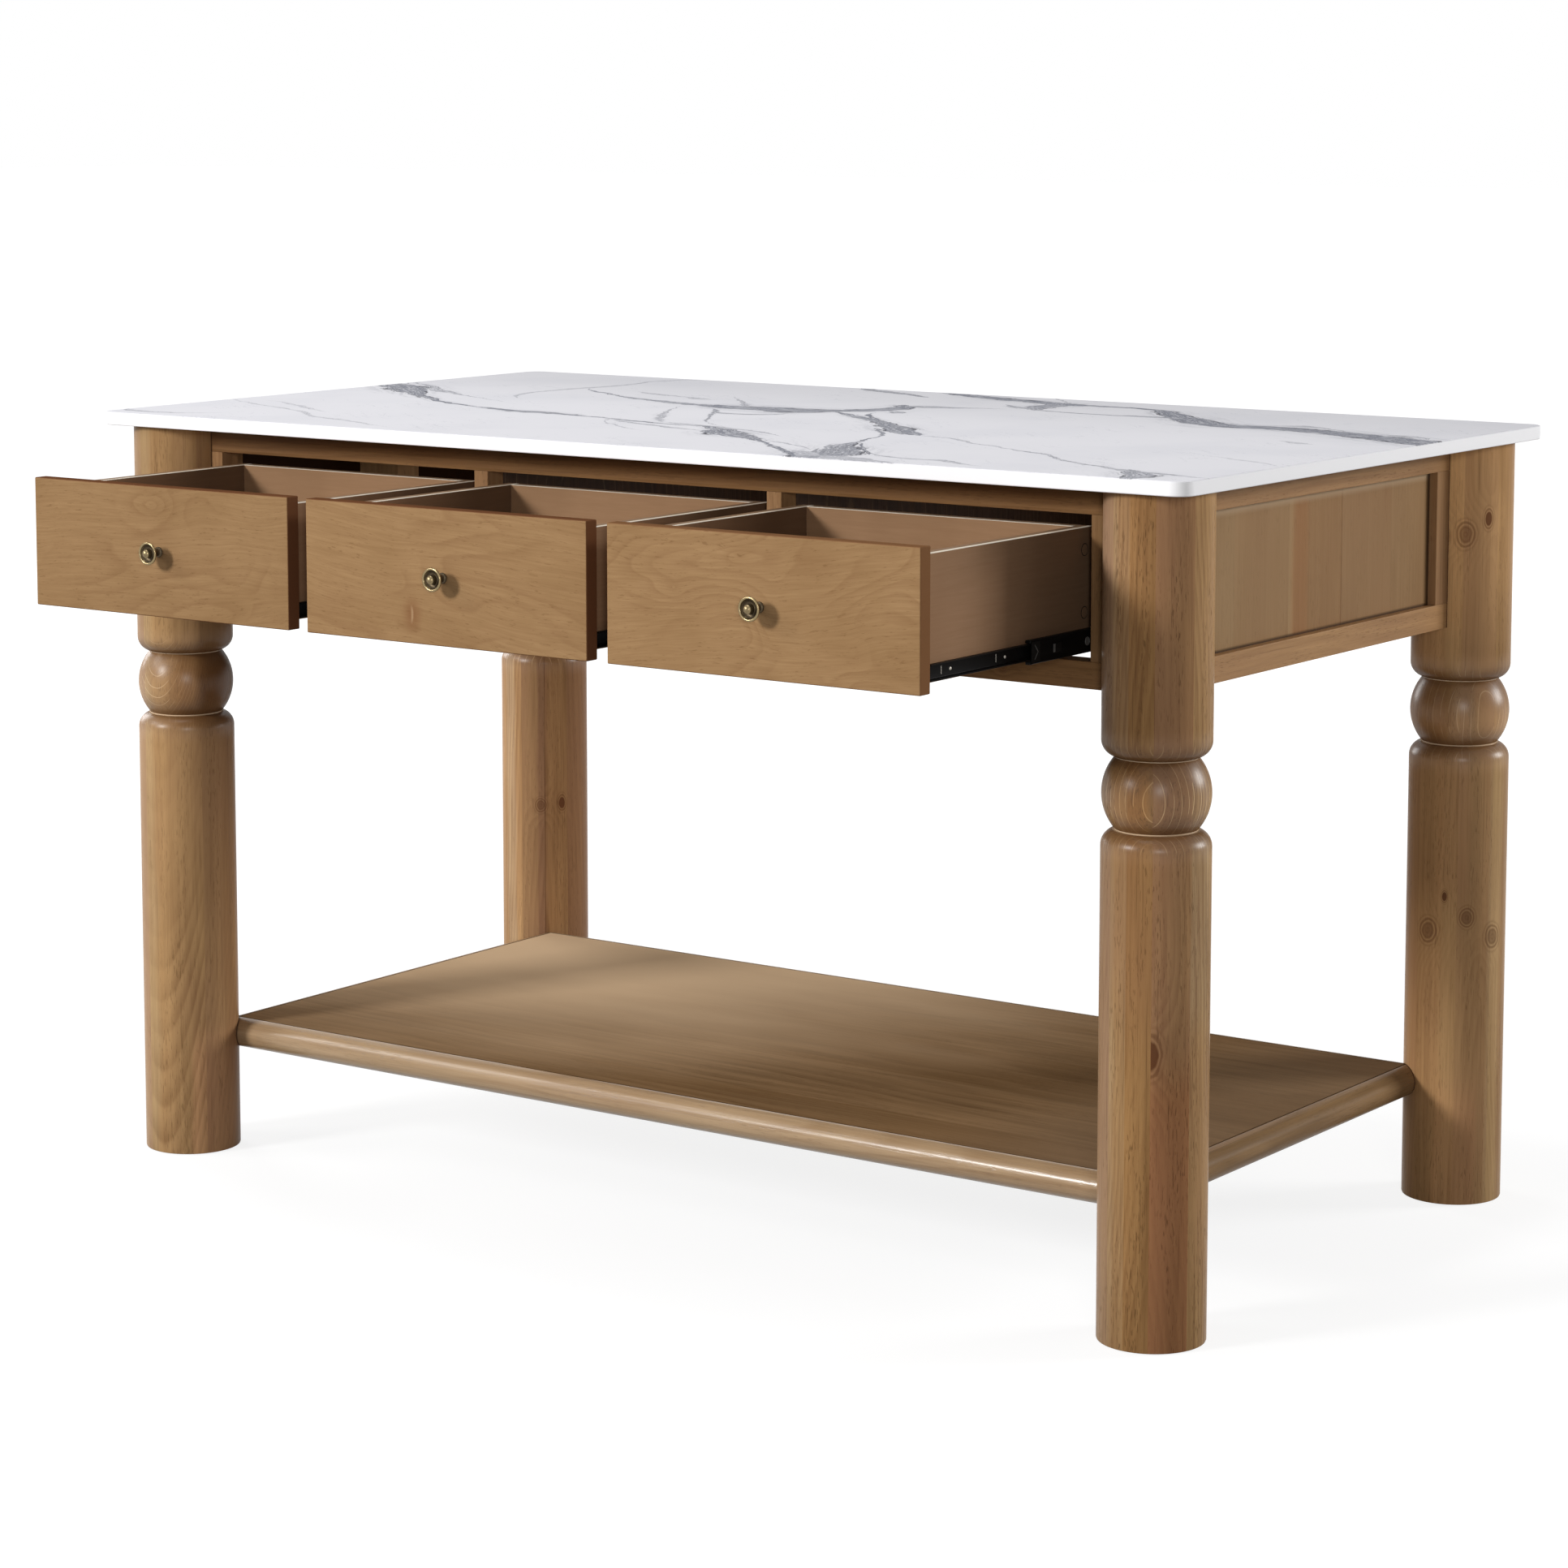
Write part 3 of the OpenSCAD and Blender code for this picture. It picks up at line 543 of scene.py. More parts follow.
# Veined stone: how strong each vein is, then its points (along, across) from the worktop's middle, with half
# widths, all in millimetres. Ends taper to nothing.
VEINS = {
    "rear_left": (0.7, [(-218, 426, 0), (-183, 408, 11), (-138, 385, 11), (-98, 368, 8), (-50, 342, 0)]),
    "rear_ribbon": (1.0, [(-90, 420, 0), (-18, 392, 13), (42, 372, 15), (102, 360, 15), (142, 350, 17),
        (202, 346, 9), (262, 343, 10), (302, 315, 17), (342, 275, 22), (392, 230, 25), (442, 195, 25),
        (502, 196, 24), (562, 188, 24), (642, 165, 24), (742, 125, 30), (800, 100, 0)]),
    "rear_knot": (0.8, [(118, 372, 0), (146, 340, 24), (142, 300, 22), (152, 272, 14), (165, 250, 0)]),
    "rear_knot_side": (0.6, [(84, 306, 0), (106, 284, 9), (150, 266, 8), (176, 254, 0)]),
    "rear_loop": (0.7, [(140, 272, 0), (182, 252, 6), (242, 242, 6), (302, 242, 8), (352, 243, 9),
        (400, 238, 0)]),
    "rear_thin": (0.5, [(70, 425, 0), (100, 402, 4), (132, 378, 4), (160, 350, 0)]),
    "ribbon_crest": (0.6, [(420, 230, 0), (482, 220, 6), (542, 235, 9), (582, 220, 6), (642, 186, 6),
        (700, 186, 7), (755, 140, 0)]),
    "heart_tail": (0.8, [(-502, 212, 0), (-473, 180, 4), (-428, 158, 6), (-358, 122, 7), (-288, 95, 9),
        (-228, 82, 14), (-190, 78, 0)]),
    "heart": (0.95, [(-240, 84, 0), (-178, 75, 22), (-118, 78, 27), (-68, 75, 30), (-30, 100, 20),
        (-5, 120, 0)]),
    "heart_rise": (0.95, [(-50, 80, 0), (-14, 118, 20), (6, 150, 20), (10, 182, 18), (0, 208, 15),
        (-14, 226, 0)]),
    "heart_tip": (0.6, [(-12, 205, 0), (28, 214, 14), (72, 230, 8), (120, 250, 0)]),
    "heart_bump": (0.6, [(22, 138, 0), (46, 124, 12), (60, 116, 0)]),
    "heart_branch": (0.9, [(-40, 105, 0), (22, 58, 10), (82, 14, 12), (132, -26, 15), (184, -80, 19),
        (226, -118, 11), (246, -130, 0)]),
    "heart_branch_edge": (1.0, [(18, 112, 0), (46, 62, 6), (92, 10, 7), (150, -50, 5), (190, -100, 0)]),
    "heart_loop": (0.7, [(-176, 46, 0), (-148, 16, 8), (-118, -6, 8), (-78, 2, 8), (-56, 26, 7),
        (-46, 60, 0)]),
    "heart_drop": (0.7, [(-160, 34, 0), (-133, -10, 5), (-108, -54, 4), (-58, -120, 2), (10, -170, 0)]),
    "slant_top": (0.45, [(-262, 214, 0), (-218, 160, 4), (-183, 125, 8), (-150, 66, 0)]),
    "slant_low": (0.45, [(-224, 46, 0), (-203, -10, 4), (-168, -70, 8), (-136, -112, 8), (-108, -146, 0)]),
    "front_left": (0.95, [(-820, 165, 0), (-728, 95, 27), (-678, 68, 30), (-638, 30, 22), (-603, -10, 12),
        (-558, -35, 10), (-513, -65, 8), (-448, -92, 6), (-378, -115, 9), (-318, -122, 13),
        (-278, -125, 11), (-198, -145, 5), (-118, -160, 6), (-40, -172, 0)]),
    "front_middle": (0.95, [(-90, -160, 0), (2, -185, 11), (32, -218, 22), (72, -246, 20), (122, -272, 10),
        (172, -320, 6), (222, -365, 8), (300, -440, 0)]),
    "front_left_crest": (0.6, [(-760, 158, 0), (-688, 120, 9), (-638, 75, 11), (-578, 40, 6), (-518, 15, 3),
        (-420, -36, 0)]),
    "front_twin": (0.5, [(-120, -144, 0), (-58, -155, 6), (2, -170, 7), (62, -190, 5), (116, -222, 0)]),
    "front_twin_low": (0.5, [(-190, -154, 0), (-118, -180, 7), (-58, -200, 7), (8, -216, 0)]),
    "front_crack": (0.6, [(-186, -158, 0), (-158, -190, 3), (-118, -220, 3), (-70, -252, 0)]),
    "fork": (0.85, [(148, -70, 0), (172, -100, 5), (207, -150, 4), (229, -220, 5), (243, -268, 13),
        (268, -318, 26), (288, -370, 34), (300, -450, 0)]),
    "fork_edge": (1.0, [(230, -225, 0), (272, -280, 4), (312, -335, 5), (330, -360, 0)]),
    "fork_foot": (0.5, [(230, -360, 0), (300, -400, 28), (352, -412, 20), (430, -430, 0)]),
    "fork_tail": (0.6, [(310, -336, 0), (352, -360, 6), (392, -368, 6), (437, -368, 8), (500, -396, 0)]),
    "fork_side": (0.45, [(110, -262, 0), (162, -285, 4), (212, -315, 5), (246, -348, 0)]),
    "right_thin": (0.6, [(238, -126, 0), (302, -140, 5), (352, -172, 4), (412, -205, 4), (482, -245, 6),
        (532, -285, 5), (592, -325, 6), (652, -350, 9), (702, -365, 6), (765, -372, 0)]),
    "right_blot": (0.75, [(642, -336, 0), (670, -368, 17), (690, -396, 19), (690, -430, 0)]),
    "left_hair": (0.4, [(-450, 428, 0), (-488, 390, 7), (-500, 350, 6), (-496, 290, 8), (-500, 245, 10),
        (-513, 190, 8), (-515, 120, 6), (-503, 75, 5), (-462, 26, 0)]),
    "far_left": (0.3, [(-770, -176, 0), (-698, -220, 4), (-628, -245, 5), (-558, -280, 5), (-498, -325, 6),
        (-428, -350, 6), (-320, -392, 0)]),
    "far_left_high": (0.3, [(-706, -176, 0), (-638, -205, 5), (-588, -235, 6), (-530, -268, 0)]),
    "left_corner": (0.4, [(-780, -352, 0), (-728, -388, 9), (-668, -385, 6), (-618, -350, 0)]),
    "right_low": (0.3, [(636, -156, 0), (692, -180, 5), (770, -220, 0)]),
    "right_spot": (0.35, [(606, 52, 0), (637, 38, 9), (662, 32, 0)]),
    "flecks": (0.4, [(-420, 208, 0), (-363, 185, 9), (-318, 170, 6), (-283, 155, 9), (-250, 150, 0)]),
}


def curve(value, points):
    """A smooth line through points whose ends are at 0 and 1."""
    made = node("ShaderNodeFloatCurve", {"Value": value})
    mapping = made.socket.node.mapping
    line = mapping.curves[0]
    line.points[0].location, line.points[1].location = points[0], points[-1]
    for x, y in points[1:-1]:
        line.points.new(x, y)
    for point in line.points:
        point.handle_type = "AUTO_CLAMPED"
    mapping.update()
    return made


def vein(place, points, strength, before):
    """Adds one vein to the depth and flow before it. Place is in millimetres."""
    (x0, y0, _), (x1, y1, _) = points[0], points[-1]
    size, turn = math.hypot(x1 - x0, y1 - y0), math.atan2(y1 - y0, x1 - x0)
    own = node("ShaderNodeMapping", {"Vector": place, "Location": (x0, y0, 0), "Rotation": (0, 0, turn),
                                     "Scale": (size, 1, 1)}, vector_type="TEXTURE")
    along, across, _ = axes(own)
    cos, sin = math.cos(turn), math.sin(turn)
    run = [((x - x0) * cos + (y - y0) * sin) / size for x, y, _ in points]
    middle = [0.5 + ((y - y0) * cos - (x - x0) * sin) / VEIN_SWAY for x, y, _ in points]
    half = [w * min(0.95, 0.34 + 0.04 * w) / VEIN_WIDEST for _, _, w in points]
    return use(VEIN, along=along * size, across=across, middle=curve(along, list(zip(run, middle))),
               half=curve(along, list(zip(run, half))), strength=strength, depth=before.depth,
               flow=before.flow)


def stone():
    """Polished white stone: a faintly clouded ground with painted shade that darkens it towards the rear, and
    grey veins whose threads follow their run.
    """
    made, place = material("veined_stone", Specular_IOR_Level=0.0)
    place = place - ISLAND_CENTRE
    flat = place * (1000, 1000, 0)
    warp = (noise(flat, 3.0, scale=0.009, out="Color") - (0.5, 0.5, 0.5)) * (26, 26, 0)
    bent = flat + (warp + (noise(flat, 4.0, 0.6, scale=0.045, out="Color") - (0.5, 0.5, 0.5)) * (14, 14, 0))
    found = SimpleNamespace(depth=-9.0, flow=(0, 0, 0))
    for strength, points in VEINS.values():
        found = vein(bent, points, strength, found)
    strength = axes(found.flow)[2]
    streaks = noise(found.flow * (0.018, 0.16, 7), 3.0, 0.6)
    threads = noise(found.flow * (0.03, 0.5, 9), 2.0, 0.55, 0.3)
    ragged = (streaks - 0.5) * 1.7 + found.depth
    body = fade(ragged, -0.02, 0.22) * fade(threads, 0.3, 0.7, 1.0, 0.45)
    halo = fade(ragged, -1.6, 0.3) * fade(streaks, 0.4, 0.62, 0.04, 0.3)
    body = highest(body, halo) * strength
    edge = fall(abs(ragged - 0.1), 0.04, 0.17) * fade(noise(bent, scale=0.03), 0.4, 0.62, 0.1, 1.0)
    thread = fall(abs(threads - 0.5), 0.006, 0.042) * fade(ragged, -0.05, 0.3)
    thread = highest(thread * 0.7, edge) * strength ** 0.6
    clouds = fade(noise(flat, 3.0, scale=0.005), 0.42, 0.7)
    colour = mix(clouds, (0.825, 0.82, 0.858), (0.79, 0.788, 0.83))
    # Painted shade: the top darkens towards the rear
    colour = tinted(colour, fade(axes(flat)[1], -50, SLAB_Y, 1.0, 0.87))
    whiskers = noise(turned(bent, 0, 0, 38) * (0.006, 0.036, 1), 4.0, 0.6)
    whisker = fall(abs(whiskers - 0.5), 0.0, 0.007, 0.3) * fade(noise(flat, 1.0, scale=0.009), 0.48, 0.62)
    colour = mix(whisker, colour, (0.36, 0.37, 0.42))
    colour = mix(body * 0.95, colour, (0.2, 0.212, 0.258))
    colour = mix(thread * 0.9, colour, (0.045, 0.046, 0.06))
    face = fade(axes(place)[2], (SLAB_TOP - SLAB_EASE) * MM, (SLAB_TOP - 0.2) * MM)
    return painted(made, Base_Color=mix(face, (0.99, 0.985, 1.0), colour), Roughness=body * 0.06 + 0.3)


# Metals and plastic

def aged_brass(name, centre):
    """Old brass: rubbed bright on the rim and the button, dark in the dish and on the neck."""
    made, place = material(name, Metallic=0.95, IOR=1.5)
    place = place - centre
    spots = noise(place, 3.0, scale=420.0)
    x, y, z = axes(place)
    out = distance(x, z)
    dish = fade(out, 0.0042, 0.0052) * fall(out, 0.0088, 0.0108)
    dirt = highest(dish, fade(y, -0.0165, -0.0145), fall(out, 0.0035, 0.0042, 0.35))
    dirt = held((spots - 0.5) * 0.5 + dirt)
    colour = mix(dirt, (0.26, 0.198, 0.104), (0.075, 0.056, 0.034))
    return painted(made, spots, 0.1, 0.0003, Base_Color=colour, Roughness=dirt * 0.25 + 0.26)


def coated_steel(name, colour, rough, metallic=0.0, speckle=0.15, shine=0.5):
    """Painted, plated or moulded fittings, with a faint mottle."""
    made, place = material(name, Metallic=metallic, Specular_IOR_Level=shine)
    mottle = noise(place, scale=900.0)
    rub = fade(noise(place * (60, 14, 240)), 0.5, 0.8, 0.0, speckle * 2)
    bright = [min(1, part * 1.9 + 0.01) for part in colour]
    return painted(made, mottle, 0.05, 0.0002, Base_Color=mix(rub, colour, bright),
                   Roughness=mottle * speckle + rough)


# Mesh helpers

def cube(bm, x0, x1, y0, y1, z0, z1):
    """A box between those planes. Returns its corners."""
    corners = bmesh.ops.create_cube(bm, size=1)["verts"]
    bmesh.ops.scale(bm, vec=(x1 - x0, y1 - y0, z1 - z0), verts=corners)
    bmesh.ops.translate(bm, vec=((x0 + x1) / 2, (y0 + y1) / 2, (z0 + z1) / 2), verts=corners)
    return corners


def edges_of(bm, corners):
    inside = set(corners)
    return [e for e in bm.edges if e.verts[0] in inside and e.verts[1] in inside]


def rise(edge, axis="z"):
    """How far an edge runs along an axis."""
    first, last = (getattr(vert.co, axis) for vert in edge.verts)
    return abs(first - last)


def ease(bm, edges, offset, segments):
    bmesh.ops.bevel(bm, geom=edges, offset=offset, offset_type="OFFSET", segments=segments, profile=0.5,
                    affect="EDGES", material=-1)


def eased_cube(bm, x0, x1, y0, y1, z0, z1, offset=0.8, segments=2):
    ease(bm, edges_of(bm, cube(bm, x0, x1, y0, y1, z0, z1)), offset, segments)


def smooth(bm, limit=28):
    """Smooth shading, with edges kept sharp where the faces meet at more than limit degrees."""
    for face in bm.faces:
        face.smooth = True
    for edge in bm.edges:
        edge.smooth = edge.calc_face_angle(0) < math.radians(limit)


def turn_mesh(bm, axis, angle, verts=None):
    bmesh.ops.rotate(bm, cent=(0, 0, 0), matrix=Matrix.Rotation(math.radians(angle), 3, axis),
                     verts=verts or bm.verts)


def spun(points, steps, axis="Z", angle=0, centre=(0, 0, 0)):
    """A closed turned shape from (radius, height) points, which start and end on the axis."""
    bm = bmesh.new()
    chain = [bm.verts.new((r, 0, z)) for r, z in points]
    rim = [bm.edges.new(pair) for pair in zip(chain, chain[1:])]
    bmesh.ops.spin(bm, geom=chain + rim, axis=(0, 0, 1), cent=(0, 0, 0), angle=math.tau, steps=steps,
                   use_merge=True)
    bmesh.ops.remove_doubles(bm, verts=bm.verts, dist=0.0005)
    bmesh.ops.recalc_face_normals(bm, faces=bm.faces)
    turn_mesh(bm, axis, angle)
    bmesh.ops.translate(bm, vec=centre, verts=bm.verts)
    return bm


def arc(cx, cz, r, start, end, count):
    """Points on a circle, from start to end degrees."""
    angles = [math.radians(start + (end - start) * i / count) for i in range(count + 1)]
    return [(cx + r * math.cos(angle), cz + r * math.sin(angle)) for angle in angles]


def pushed(bm, geom, by):
    """Moves what an extrusion made."""
    bmesh.ops.translate(bm, vec=by, verts=[v for v in geom if isinstance(v, bmesh.types.BMVert)])


def merged(bm, other):
    """Adds one bmesh to another and frees it."""
    held_mesh = bpy.data.meshes.new("held")
    other.to_mesh(held_mesh)
    other.free()
    bm.from_mesh(held_mesh)
    bpy.data.meshes.remove(held_mesh)


def placed(name, bm):
    """An object of its own, made of the bmesh."""
    mesh = bpy.data.meshes.new(name)
    bm.to_mesh(mesh)
    bm.free()
    made = bpy.data.objects.new(name, mesh)
    bpy.context.scene.collection.objects.link(made)
    return made


def coped(made, cutter):
    """Cuts one object by another for good."""
    tool = made.modifiers.new("cope", "BOOLEAN")
    tool.operation, tool.solver, tool.object = "DIFFERENCE", "EXACT", cutter
    bpy.context.view_layer.update()
    evaluated = made.evaluated_get(bpy.context.evaluated_depsgraph_get())
    done, old = bpy.data.meshes.new_from_object(evaluated), made.data
    made.modifiers.clear()
    made.data = done
    bpy.data.meshes.remove(old)
    done.name = made.name


def piece(name, bm, look, body, replaces=None, cut=None, weighted=False):
    """Makes a finished piece in the CAD frame, riding on its body."""
    bmesh.ops.transform(bm, matrix=TO_FRAME, verts=bm.verts)
    made = placed(name, bm)
    made.data.materials.append(look)
    if cut:
        coped(made, cut)
    if weighted:
        made.modifiers.new("even", "WEIGHTED_NORMAL").keep_sharp = True
    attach(made, body)
    if replaces:
        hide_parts(replaces)


def dress(name, look):
    """A better material on a CAD node that stays."""
    for place in nodes[name].material_slots:
        place.material = look


# Worktop

def build_worktop():
    bm = bmesh.new()
    corners = cube(bm, -SLAB_X, SLAB_X, -SLAB_Y, SLAB_Y, SLAB_TOP - SLAB_T, SLAB_TOP)
    ease(bm, [e for e in edges_of(bm, corners) if rise(e) > 1], SLAB_CORNER, 14)
    ease(bm, [e for e in bm.edges if rise(e) < 0.01 and e.calc_face_angle(0) > 1], SLAB_EASE, 3)
    smooth(bm)
    piece("worktop_slab", bm, stone(), ISLAND, "worktop", weighted=True)


# Legs

def shoulder(z, rising):
    """Rounded end of a column at height z, from the groove out to the full radius or back."""
    inner = LEG_R - SHOULDER_R
    start = math.degrees(math.acos((NECK_R - inner) / SHOULDER_R))
    height = SHOULDER_R * math.sin(math.radians(start))
    if rising:
        return arc(inner, z - height, SHOULDER_R, 0, start, 14)
    return arc(inner, z + height, SHOULDER_R, -start, 0, 14)


def leg_points():
    bulge = BALL_R - NECK_R
    ball_arc = ((BALL_H / 2) ** 2 + bulge ** 2) / (2 * bulge)
    reach = math.degrees(math.asin(BALL_H / 2 / ball_arc))
    ball = arc(BALL_R - ball_arc, GROOVE_Z + BALL_H / 2, ball_arc, -reach, reach, 30)
    lip, gap, top = NECK_R + 0.5, 0.7, GROOVE_Z + BALL_H
    foot = [(0, 0), (LEG_R - 2, 0), (LEG_R - 0.6, 0.5), (LEG_R, 2)]
    lower = [*((LEG_R, z) for z in (130, 260, 400)), *shoulder(GROOVE_Z, True)[:-1], (lip, GROOVE_Z - gap)]
    upper = [(lip, top + gap), *shoulder(top, False)[1:], (LEG_R, 740), (LEG_R, LEG_H), (0, LEG_H)]
    return foot + lower + [(lip, GROOVE_Z + gap)] + ball[1:-1] + [(lip, top - gap)] + upper


# How pale each leg is, which also evens out the light that each one gets, the factor of painted light and
# shade on its upper part, and what else sets its wood apart. Then its bands of tint (from, to, softness, tint
# and, for some, the heights in metres), which are staves and streaks of the wood and painted light and shade
# on the ball's sides, the edges and the foot, and its knots (place, size, seam). Bands and knots are measured
# from its axis in millimetres.
LEG_LOOKS = {
    "front_left": (
        1.27, 0.86, dict(seed=4.643, stave=0.07, slope=-0.64, tone=0.5, figure=(0.5, 0.1), ring=0.026,
                         fibre=0.5, pores=0.5, bow=(-0.056, 21)),
        [(-70, -40, 12, (1.04, 1.14, 1.25)), (14, 70, 10, (1.42, 1.33, 1.42), 0.0, 0.1),
         (4, 70, 26, (0.74, 0.64, 0.54), 0.57, 0.59), (28, 70, 14, (0.55, 0.5, 0.46), 0.57, 0.59),
         (50, 70, 6, (0.85, 0.82, 0.8), 0.12, 0.5)],
        []),
    "front_right": (
        1.03, 1.04, dict(seed=7.207, slope=0.05, tone=0.6, fibre=0.75, pores=0.8),
        [(-34, -8.5, 0.3, (0.93, 0.85, 0.74)), (-8.5, 32.5, 0.3, (1.07, 1.03, 1.0)),
         (-8.5, 32.5, 0.3, (0.97, 0.84, 0.77), 0.0, 0.26), (14, 32.5, 9, (1.1, 1.13, 1.13), 0.38, 0.5),
         (32.5, 70, 0.3, (1.25, 1.27, 1.25)), (-70, -49, 6, (1.07, 1.16, 1.3)),
         (34, 50, 4, (1.08, 1.18, 1.35), 0.38, 0.5), (-46, -16, 8, (1.0, 0.92, 0.8), 0.57, 0.59)],
        [((25.6, -52.1, 316.8), 10, -8.5)]),
    "rear_left": (
        1.08, 1.05, dict(seed=3.918, stave=0.0305, slope=0.04, tone=0.6, fibre=0.7, pores=0.4),
        [(-70, -28.5, 0.3, (1.46, 1.45, 1.5)), (-47, -40, 5, (1.12, 1.26, 1.5)),
         (-4, 3, 5, (0.82, 0.77, 0.84)), (2.9, 3.5, 0.3, (0.55, 0.5, 0.5)),
         (3.6, 70, 0.3, (0.94, 0.86, 0.85))],
        [((51.1, -27.4, 336.8), 4.8, -100), ((31, -48.5, 334), 6)]),
    "rear_right": (
        1.36, 1.46, dict(seed=9.2, slope=0.03, tone=0.3, figure=(0.18, 0.14), fibre=0.45, pores=0.45),
        [(-70, -30, 8, (0.95, 0.9, 0.88)), (32, 44, 5, (1.06, 1.14, 1.2), 0.0, 0.5),
         (-24, 14, 10, (1.15, 1.08, 1.1), 0.0, 0.1), (-24, 0, 10, (1.1, 1.06, 1.08), 0.4, 0.55),
         (40, 70, 14, (0.7, 0.68, 0.66), 0.62, 1.0), (-70, -22, 10, (0.82, 0.76, 0.7), 0.57, 0.59),
         (14, 46, 8, (1.22, 1.18, 1.14), 0.57, 0.59), (50, 70, 8, (0.8, 0.78, 0.76), 0.0, 0.5)],
        [((28.3, -51, 793), 9), ((48.5, -32, 811), 5, -100), ((7.6, -57.5, 790), 3.4, -100),
         ((-7.7, -57.5, 326), 9), ((12.8, -56.6, 368), 2.9, -100), ((36.3, -45.3, 344), 7),
         ((55.6, -16.6, 319), 9)]),
}


def leg_wood(name, centre, pale, lift, look, bands, knots):
    """The wood of one leg. The growth rings show more or less clearly at the foot than above it."""
    look = {"stave": 0.041, "figure": (0.38, 0.38), "fibre": 1.0, "pores": 1.15, "ring": 0.0065, **look}
    foot, above = look.pop("figure")
    for key, colour in (("light", (0.345, 0.207, 0.094)), ("dark", (0.168, 0.088, 0.038)),
                        ("red", (0.285, 0.155, 0.085))):
        look[key] = [part * pale for part in colour]
    knots = [([part * MM for part in at], *(size * MM for size in sizes)) for at, *sizes in knots]
    return timber(f"turned_wood_{name}", "z", knots, lines=ball_lines, centre=centre, stave_turn=-LEG_TURN,
                  figure=lambda place: fade(axes(place)[2], 0.14, 0.4, foot, above),
                  extra=lambda place, colour: leg_glaze_and_light(place, colour, bands, lift),
                  coat=ball_coat, gloss=0.22, shine=0.02, **look)


LEG_PLACES = [(sx * LEG_X, sy * LEG_Y) for sy in (-1, 1) for sx in (-1, 1)]


def build_legs():
    for (name, look), (x, y) in zip(LEG_LOOKS.items(), LEG_PLACES):
        bm = spun(leg_points(), 112, centre=(x, y, 0))
        smooth(bm, 34)
        wood = leg_wood(name, (x * MM, (y + ORIGIN_Y) * MM, 0), *look)
        piece(f"turned_leg_{name}", bm, wood, ISLAND, f"leg_{name}")


def leg_cutter():
    """Four plain cylinders, which cope the ends of rails and stiles to the legs."""
    bm = bmesh.new()
    r, height = LEG_R - 0.05, 2000
    for x, y in LEG_PLACES:
        made = bmesh.ops.create_cone(bm, cap_ends=True, segments=112, radius1=r, radius2=r, depth=height)
        bmesh.ops.translate(bm, vec=(x, y, height / 4), verts=made["verts"])
    bmesh.ops.transform(bm, matrix=TO_FRAME, verts=bm.verts)
    return placed("leg_cutter", bm)


# Framed box

def side_box(side, start, end, low, high):
    """A box in one of the four frames, from start to end along it."""
    face = FACE_Y if side in ("front", "rear") else FACE_X
    depth = (-face, FRAME_T - face) if side in ("front", "left") else (face - FRAME_T, face)
    return (start, end, *depth, low, high) if face == FACE_Y else (*depth, start, end, low, high)


def frame_piece(name, look, replaces, cutter, *boxes):
    bm = bmesh.new()
    for box in boxes:
        eased_cube(bm, *box, offset=0.7)
    piece(name, bm, look, ISLAND, replaces, cut=cutter)


def uprights(side, name, look, replaces, cutter, start, end):
    """The two stiles of a frame, each from start to end out from its middle."""
    frame_piece(name, look, replaces, cutter, side_box(side, -end, -start, OPENING_LOW, OPENING_HIGH),
                side_box(side, start, end, OPENING_LOW, OPENING_HIGH))


def build_frame(cutter):
    knot = ((0.505, (ORIGIN_Y - FACE_Y) * MM, 0.7), 0.004)
    # The long rails' wood is darker than the short rails': painted shade for the front rails under the slab
    # and drawers
    long_wood = timber("rail_wood_long", "x", [knot], stave=0.034, seed=3.4, light=(0.245, 0.13, 0.052),
                       dark=(0.14, 0.067, 0.025), tone=0.25, extra=seam_and_slab_shade)
    short_wood = timber("rail_wood_short", "y", stave=0.034, seed=5.1, light=(0.44, 0.252, 0.11),
                        dark=(0.27, 0.141, 0.058), tone=0.25, pores=0.5, shine=0.06, extra=seam_and_slab_shade)
    upright = dict(grain="z", stave=0.05, seed=1.7, light=(0.33, 0.19, 0.086), dark=(0.19, 0.098, 0.042),
                   figure=0.35, pores=0.5)
    upright_wood = timber("stile_wood", shine=0.06, extra=seam_and_slab_shade, **upright)
    end_wood = timber("end_stile_wood", shine=0.03, extra=stile_shade, **upright)
    for level, low, high in (("top", OPENING_HIGH, LEG_H), ("bottom", RAIL_LOW, OPENING_LOW)):
        for side, reach, look in (("front", LEG_X, long_wood), ("rear", LEG_X, long_wood),
                                  ("left", LEG_Y, short_wood), ("right", LEG_Y, short_wood)):
            frame_piece(f"{side}_{level}_board", look, f"{side}_{level}_rail", cutter,
                        side_box(side, -reach, reach, low, high))
    uprights("front", "front_end_uprights", end_wood, "front_end_stiles", cutter, OPENING_X, LEG_X)
    uprights("rear", "rear_uprights", upright_wood, "rear_stiles", cutter, REAR_OPENING_X, LEG_X)
    for side, x in (("left", -BAY / 2), ("right", BAY / 2)):
        uprights(side, f"{side}_uprights", upright_wood, f"{side}_stiles", cutter, SIDE_OPENING_Y, LEG_Y)
        frame_piece(f"divider_upright_{side}", upright_wood, f"divider_{side}", None,
                    side_box("front", x - DIVIDER_W / 2, x + DIVIDER_W / 2, OPENING_LOW, OPENING_HIGH))


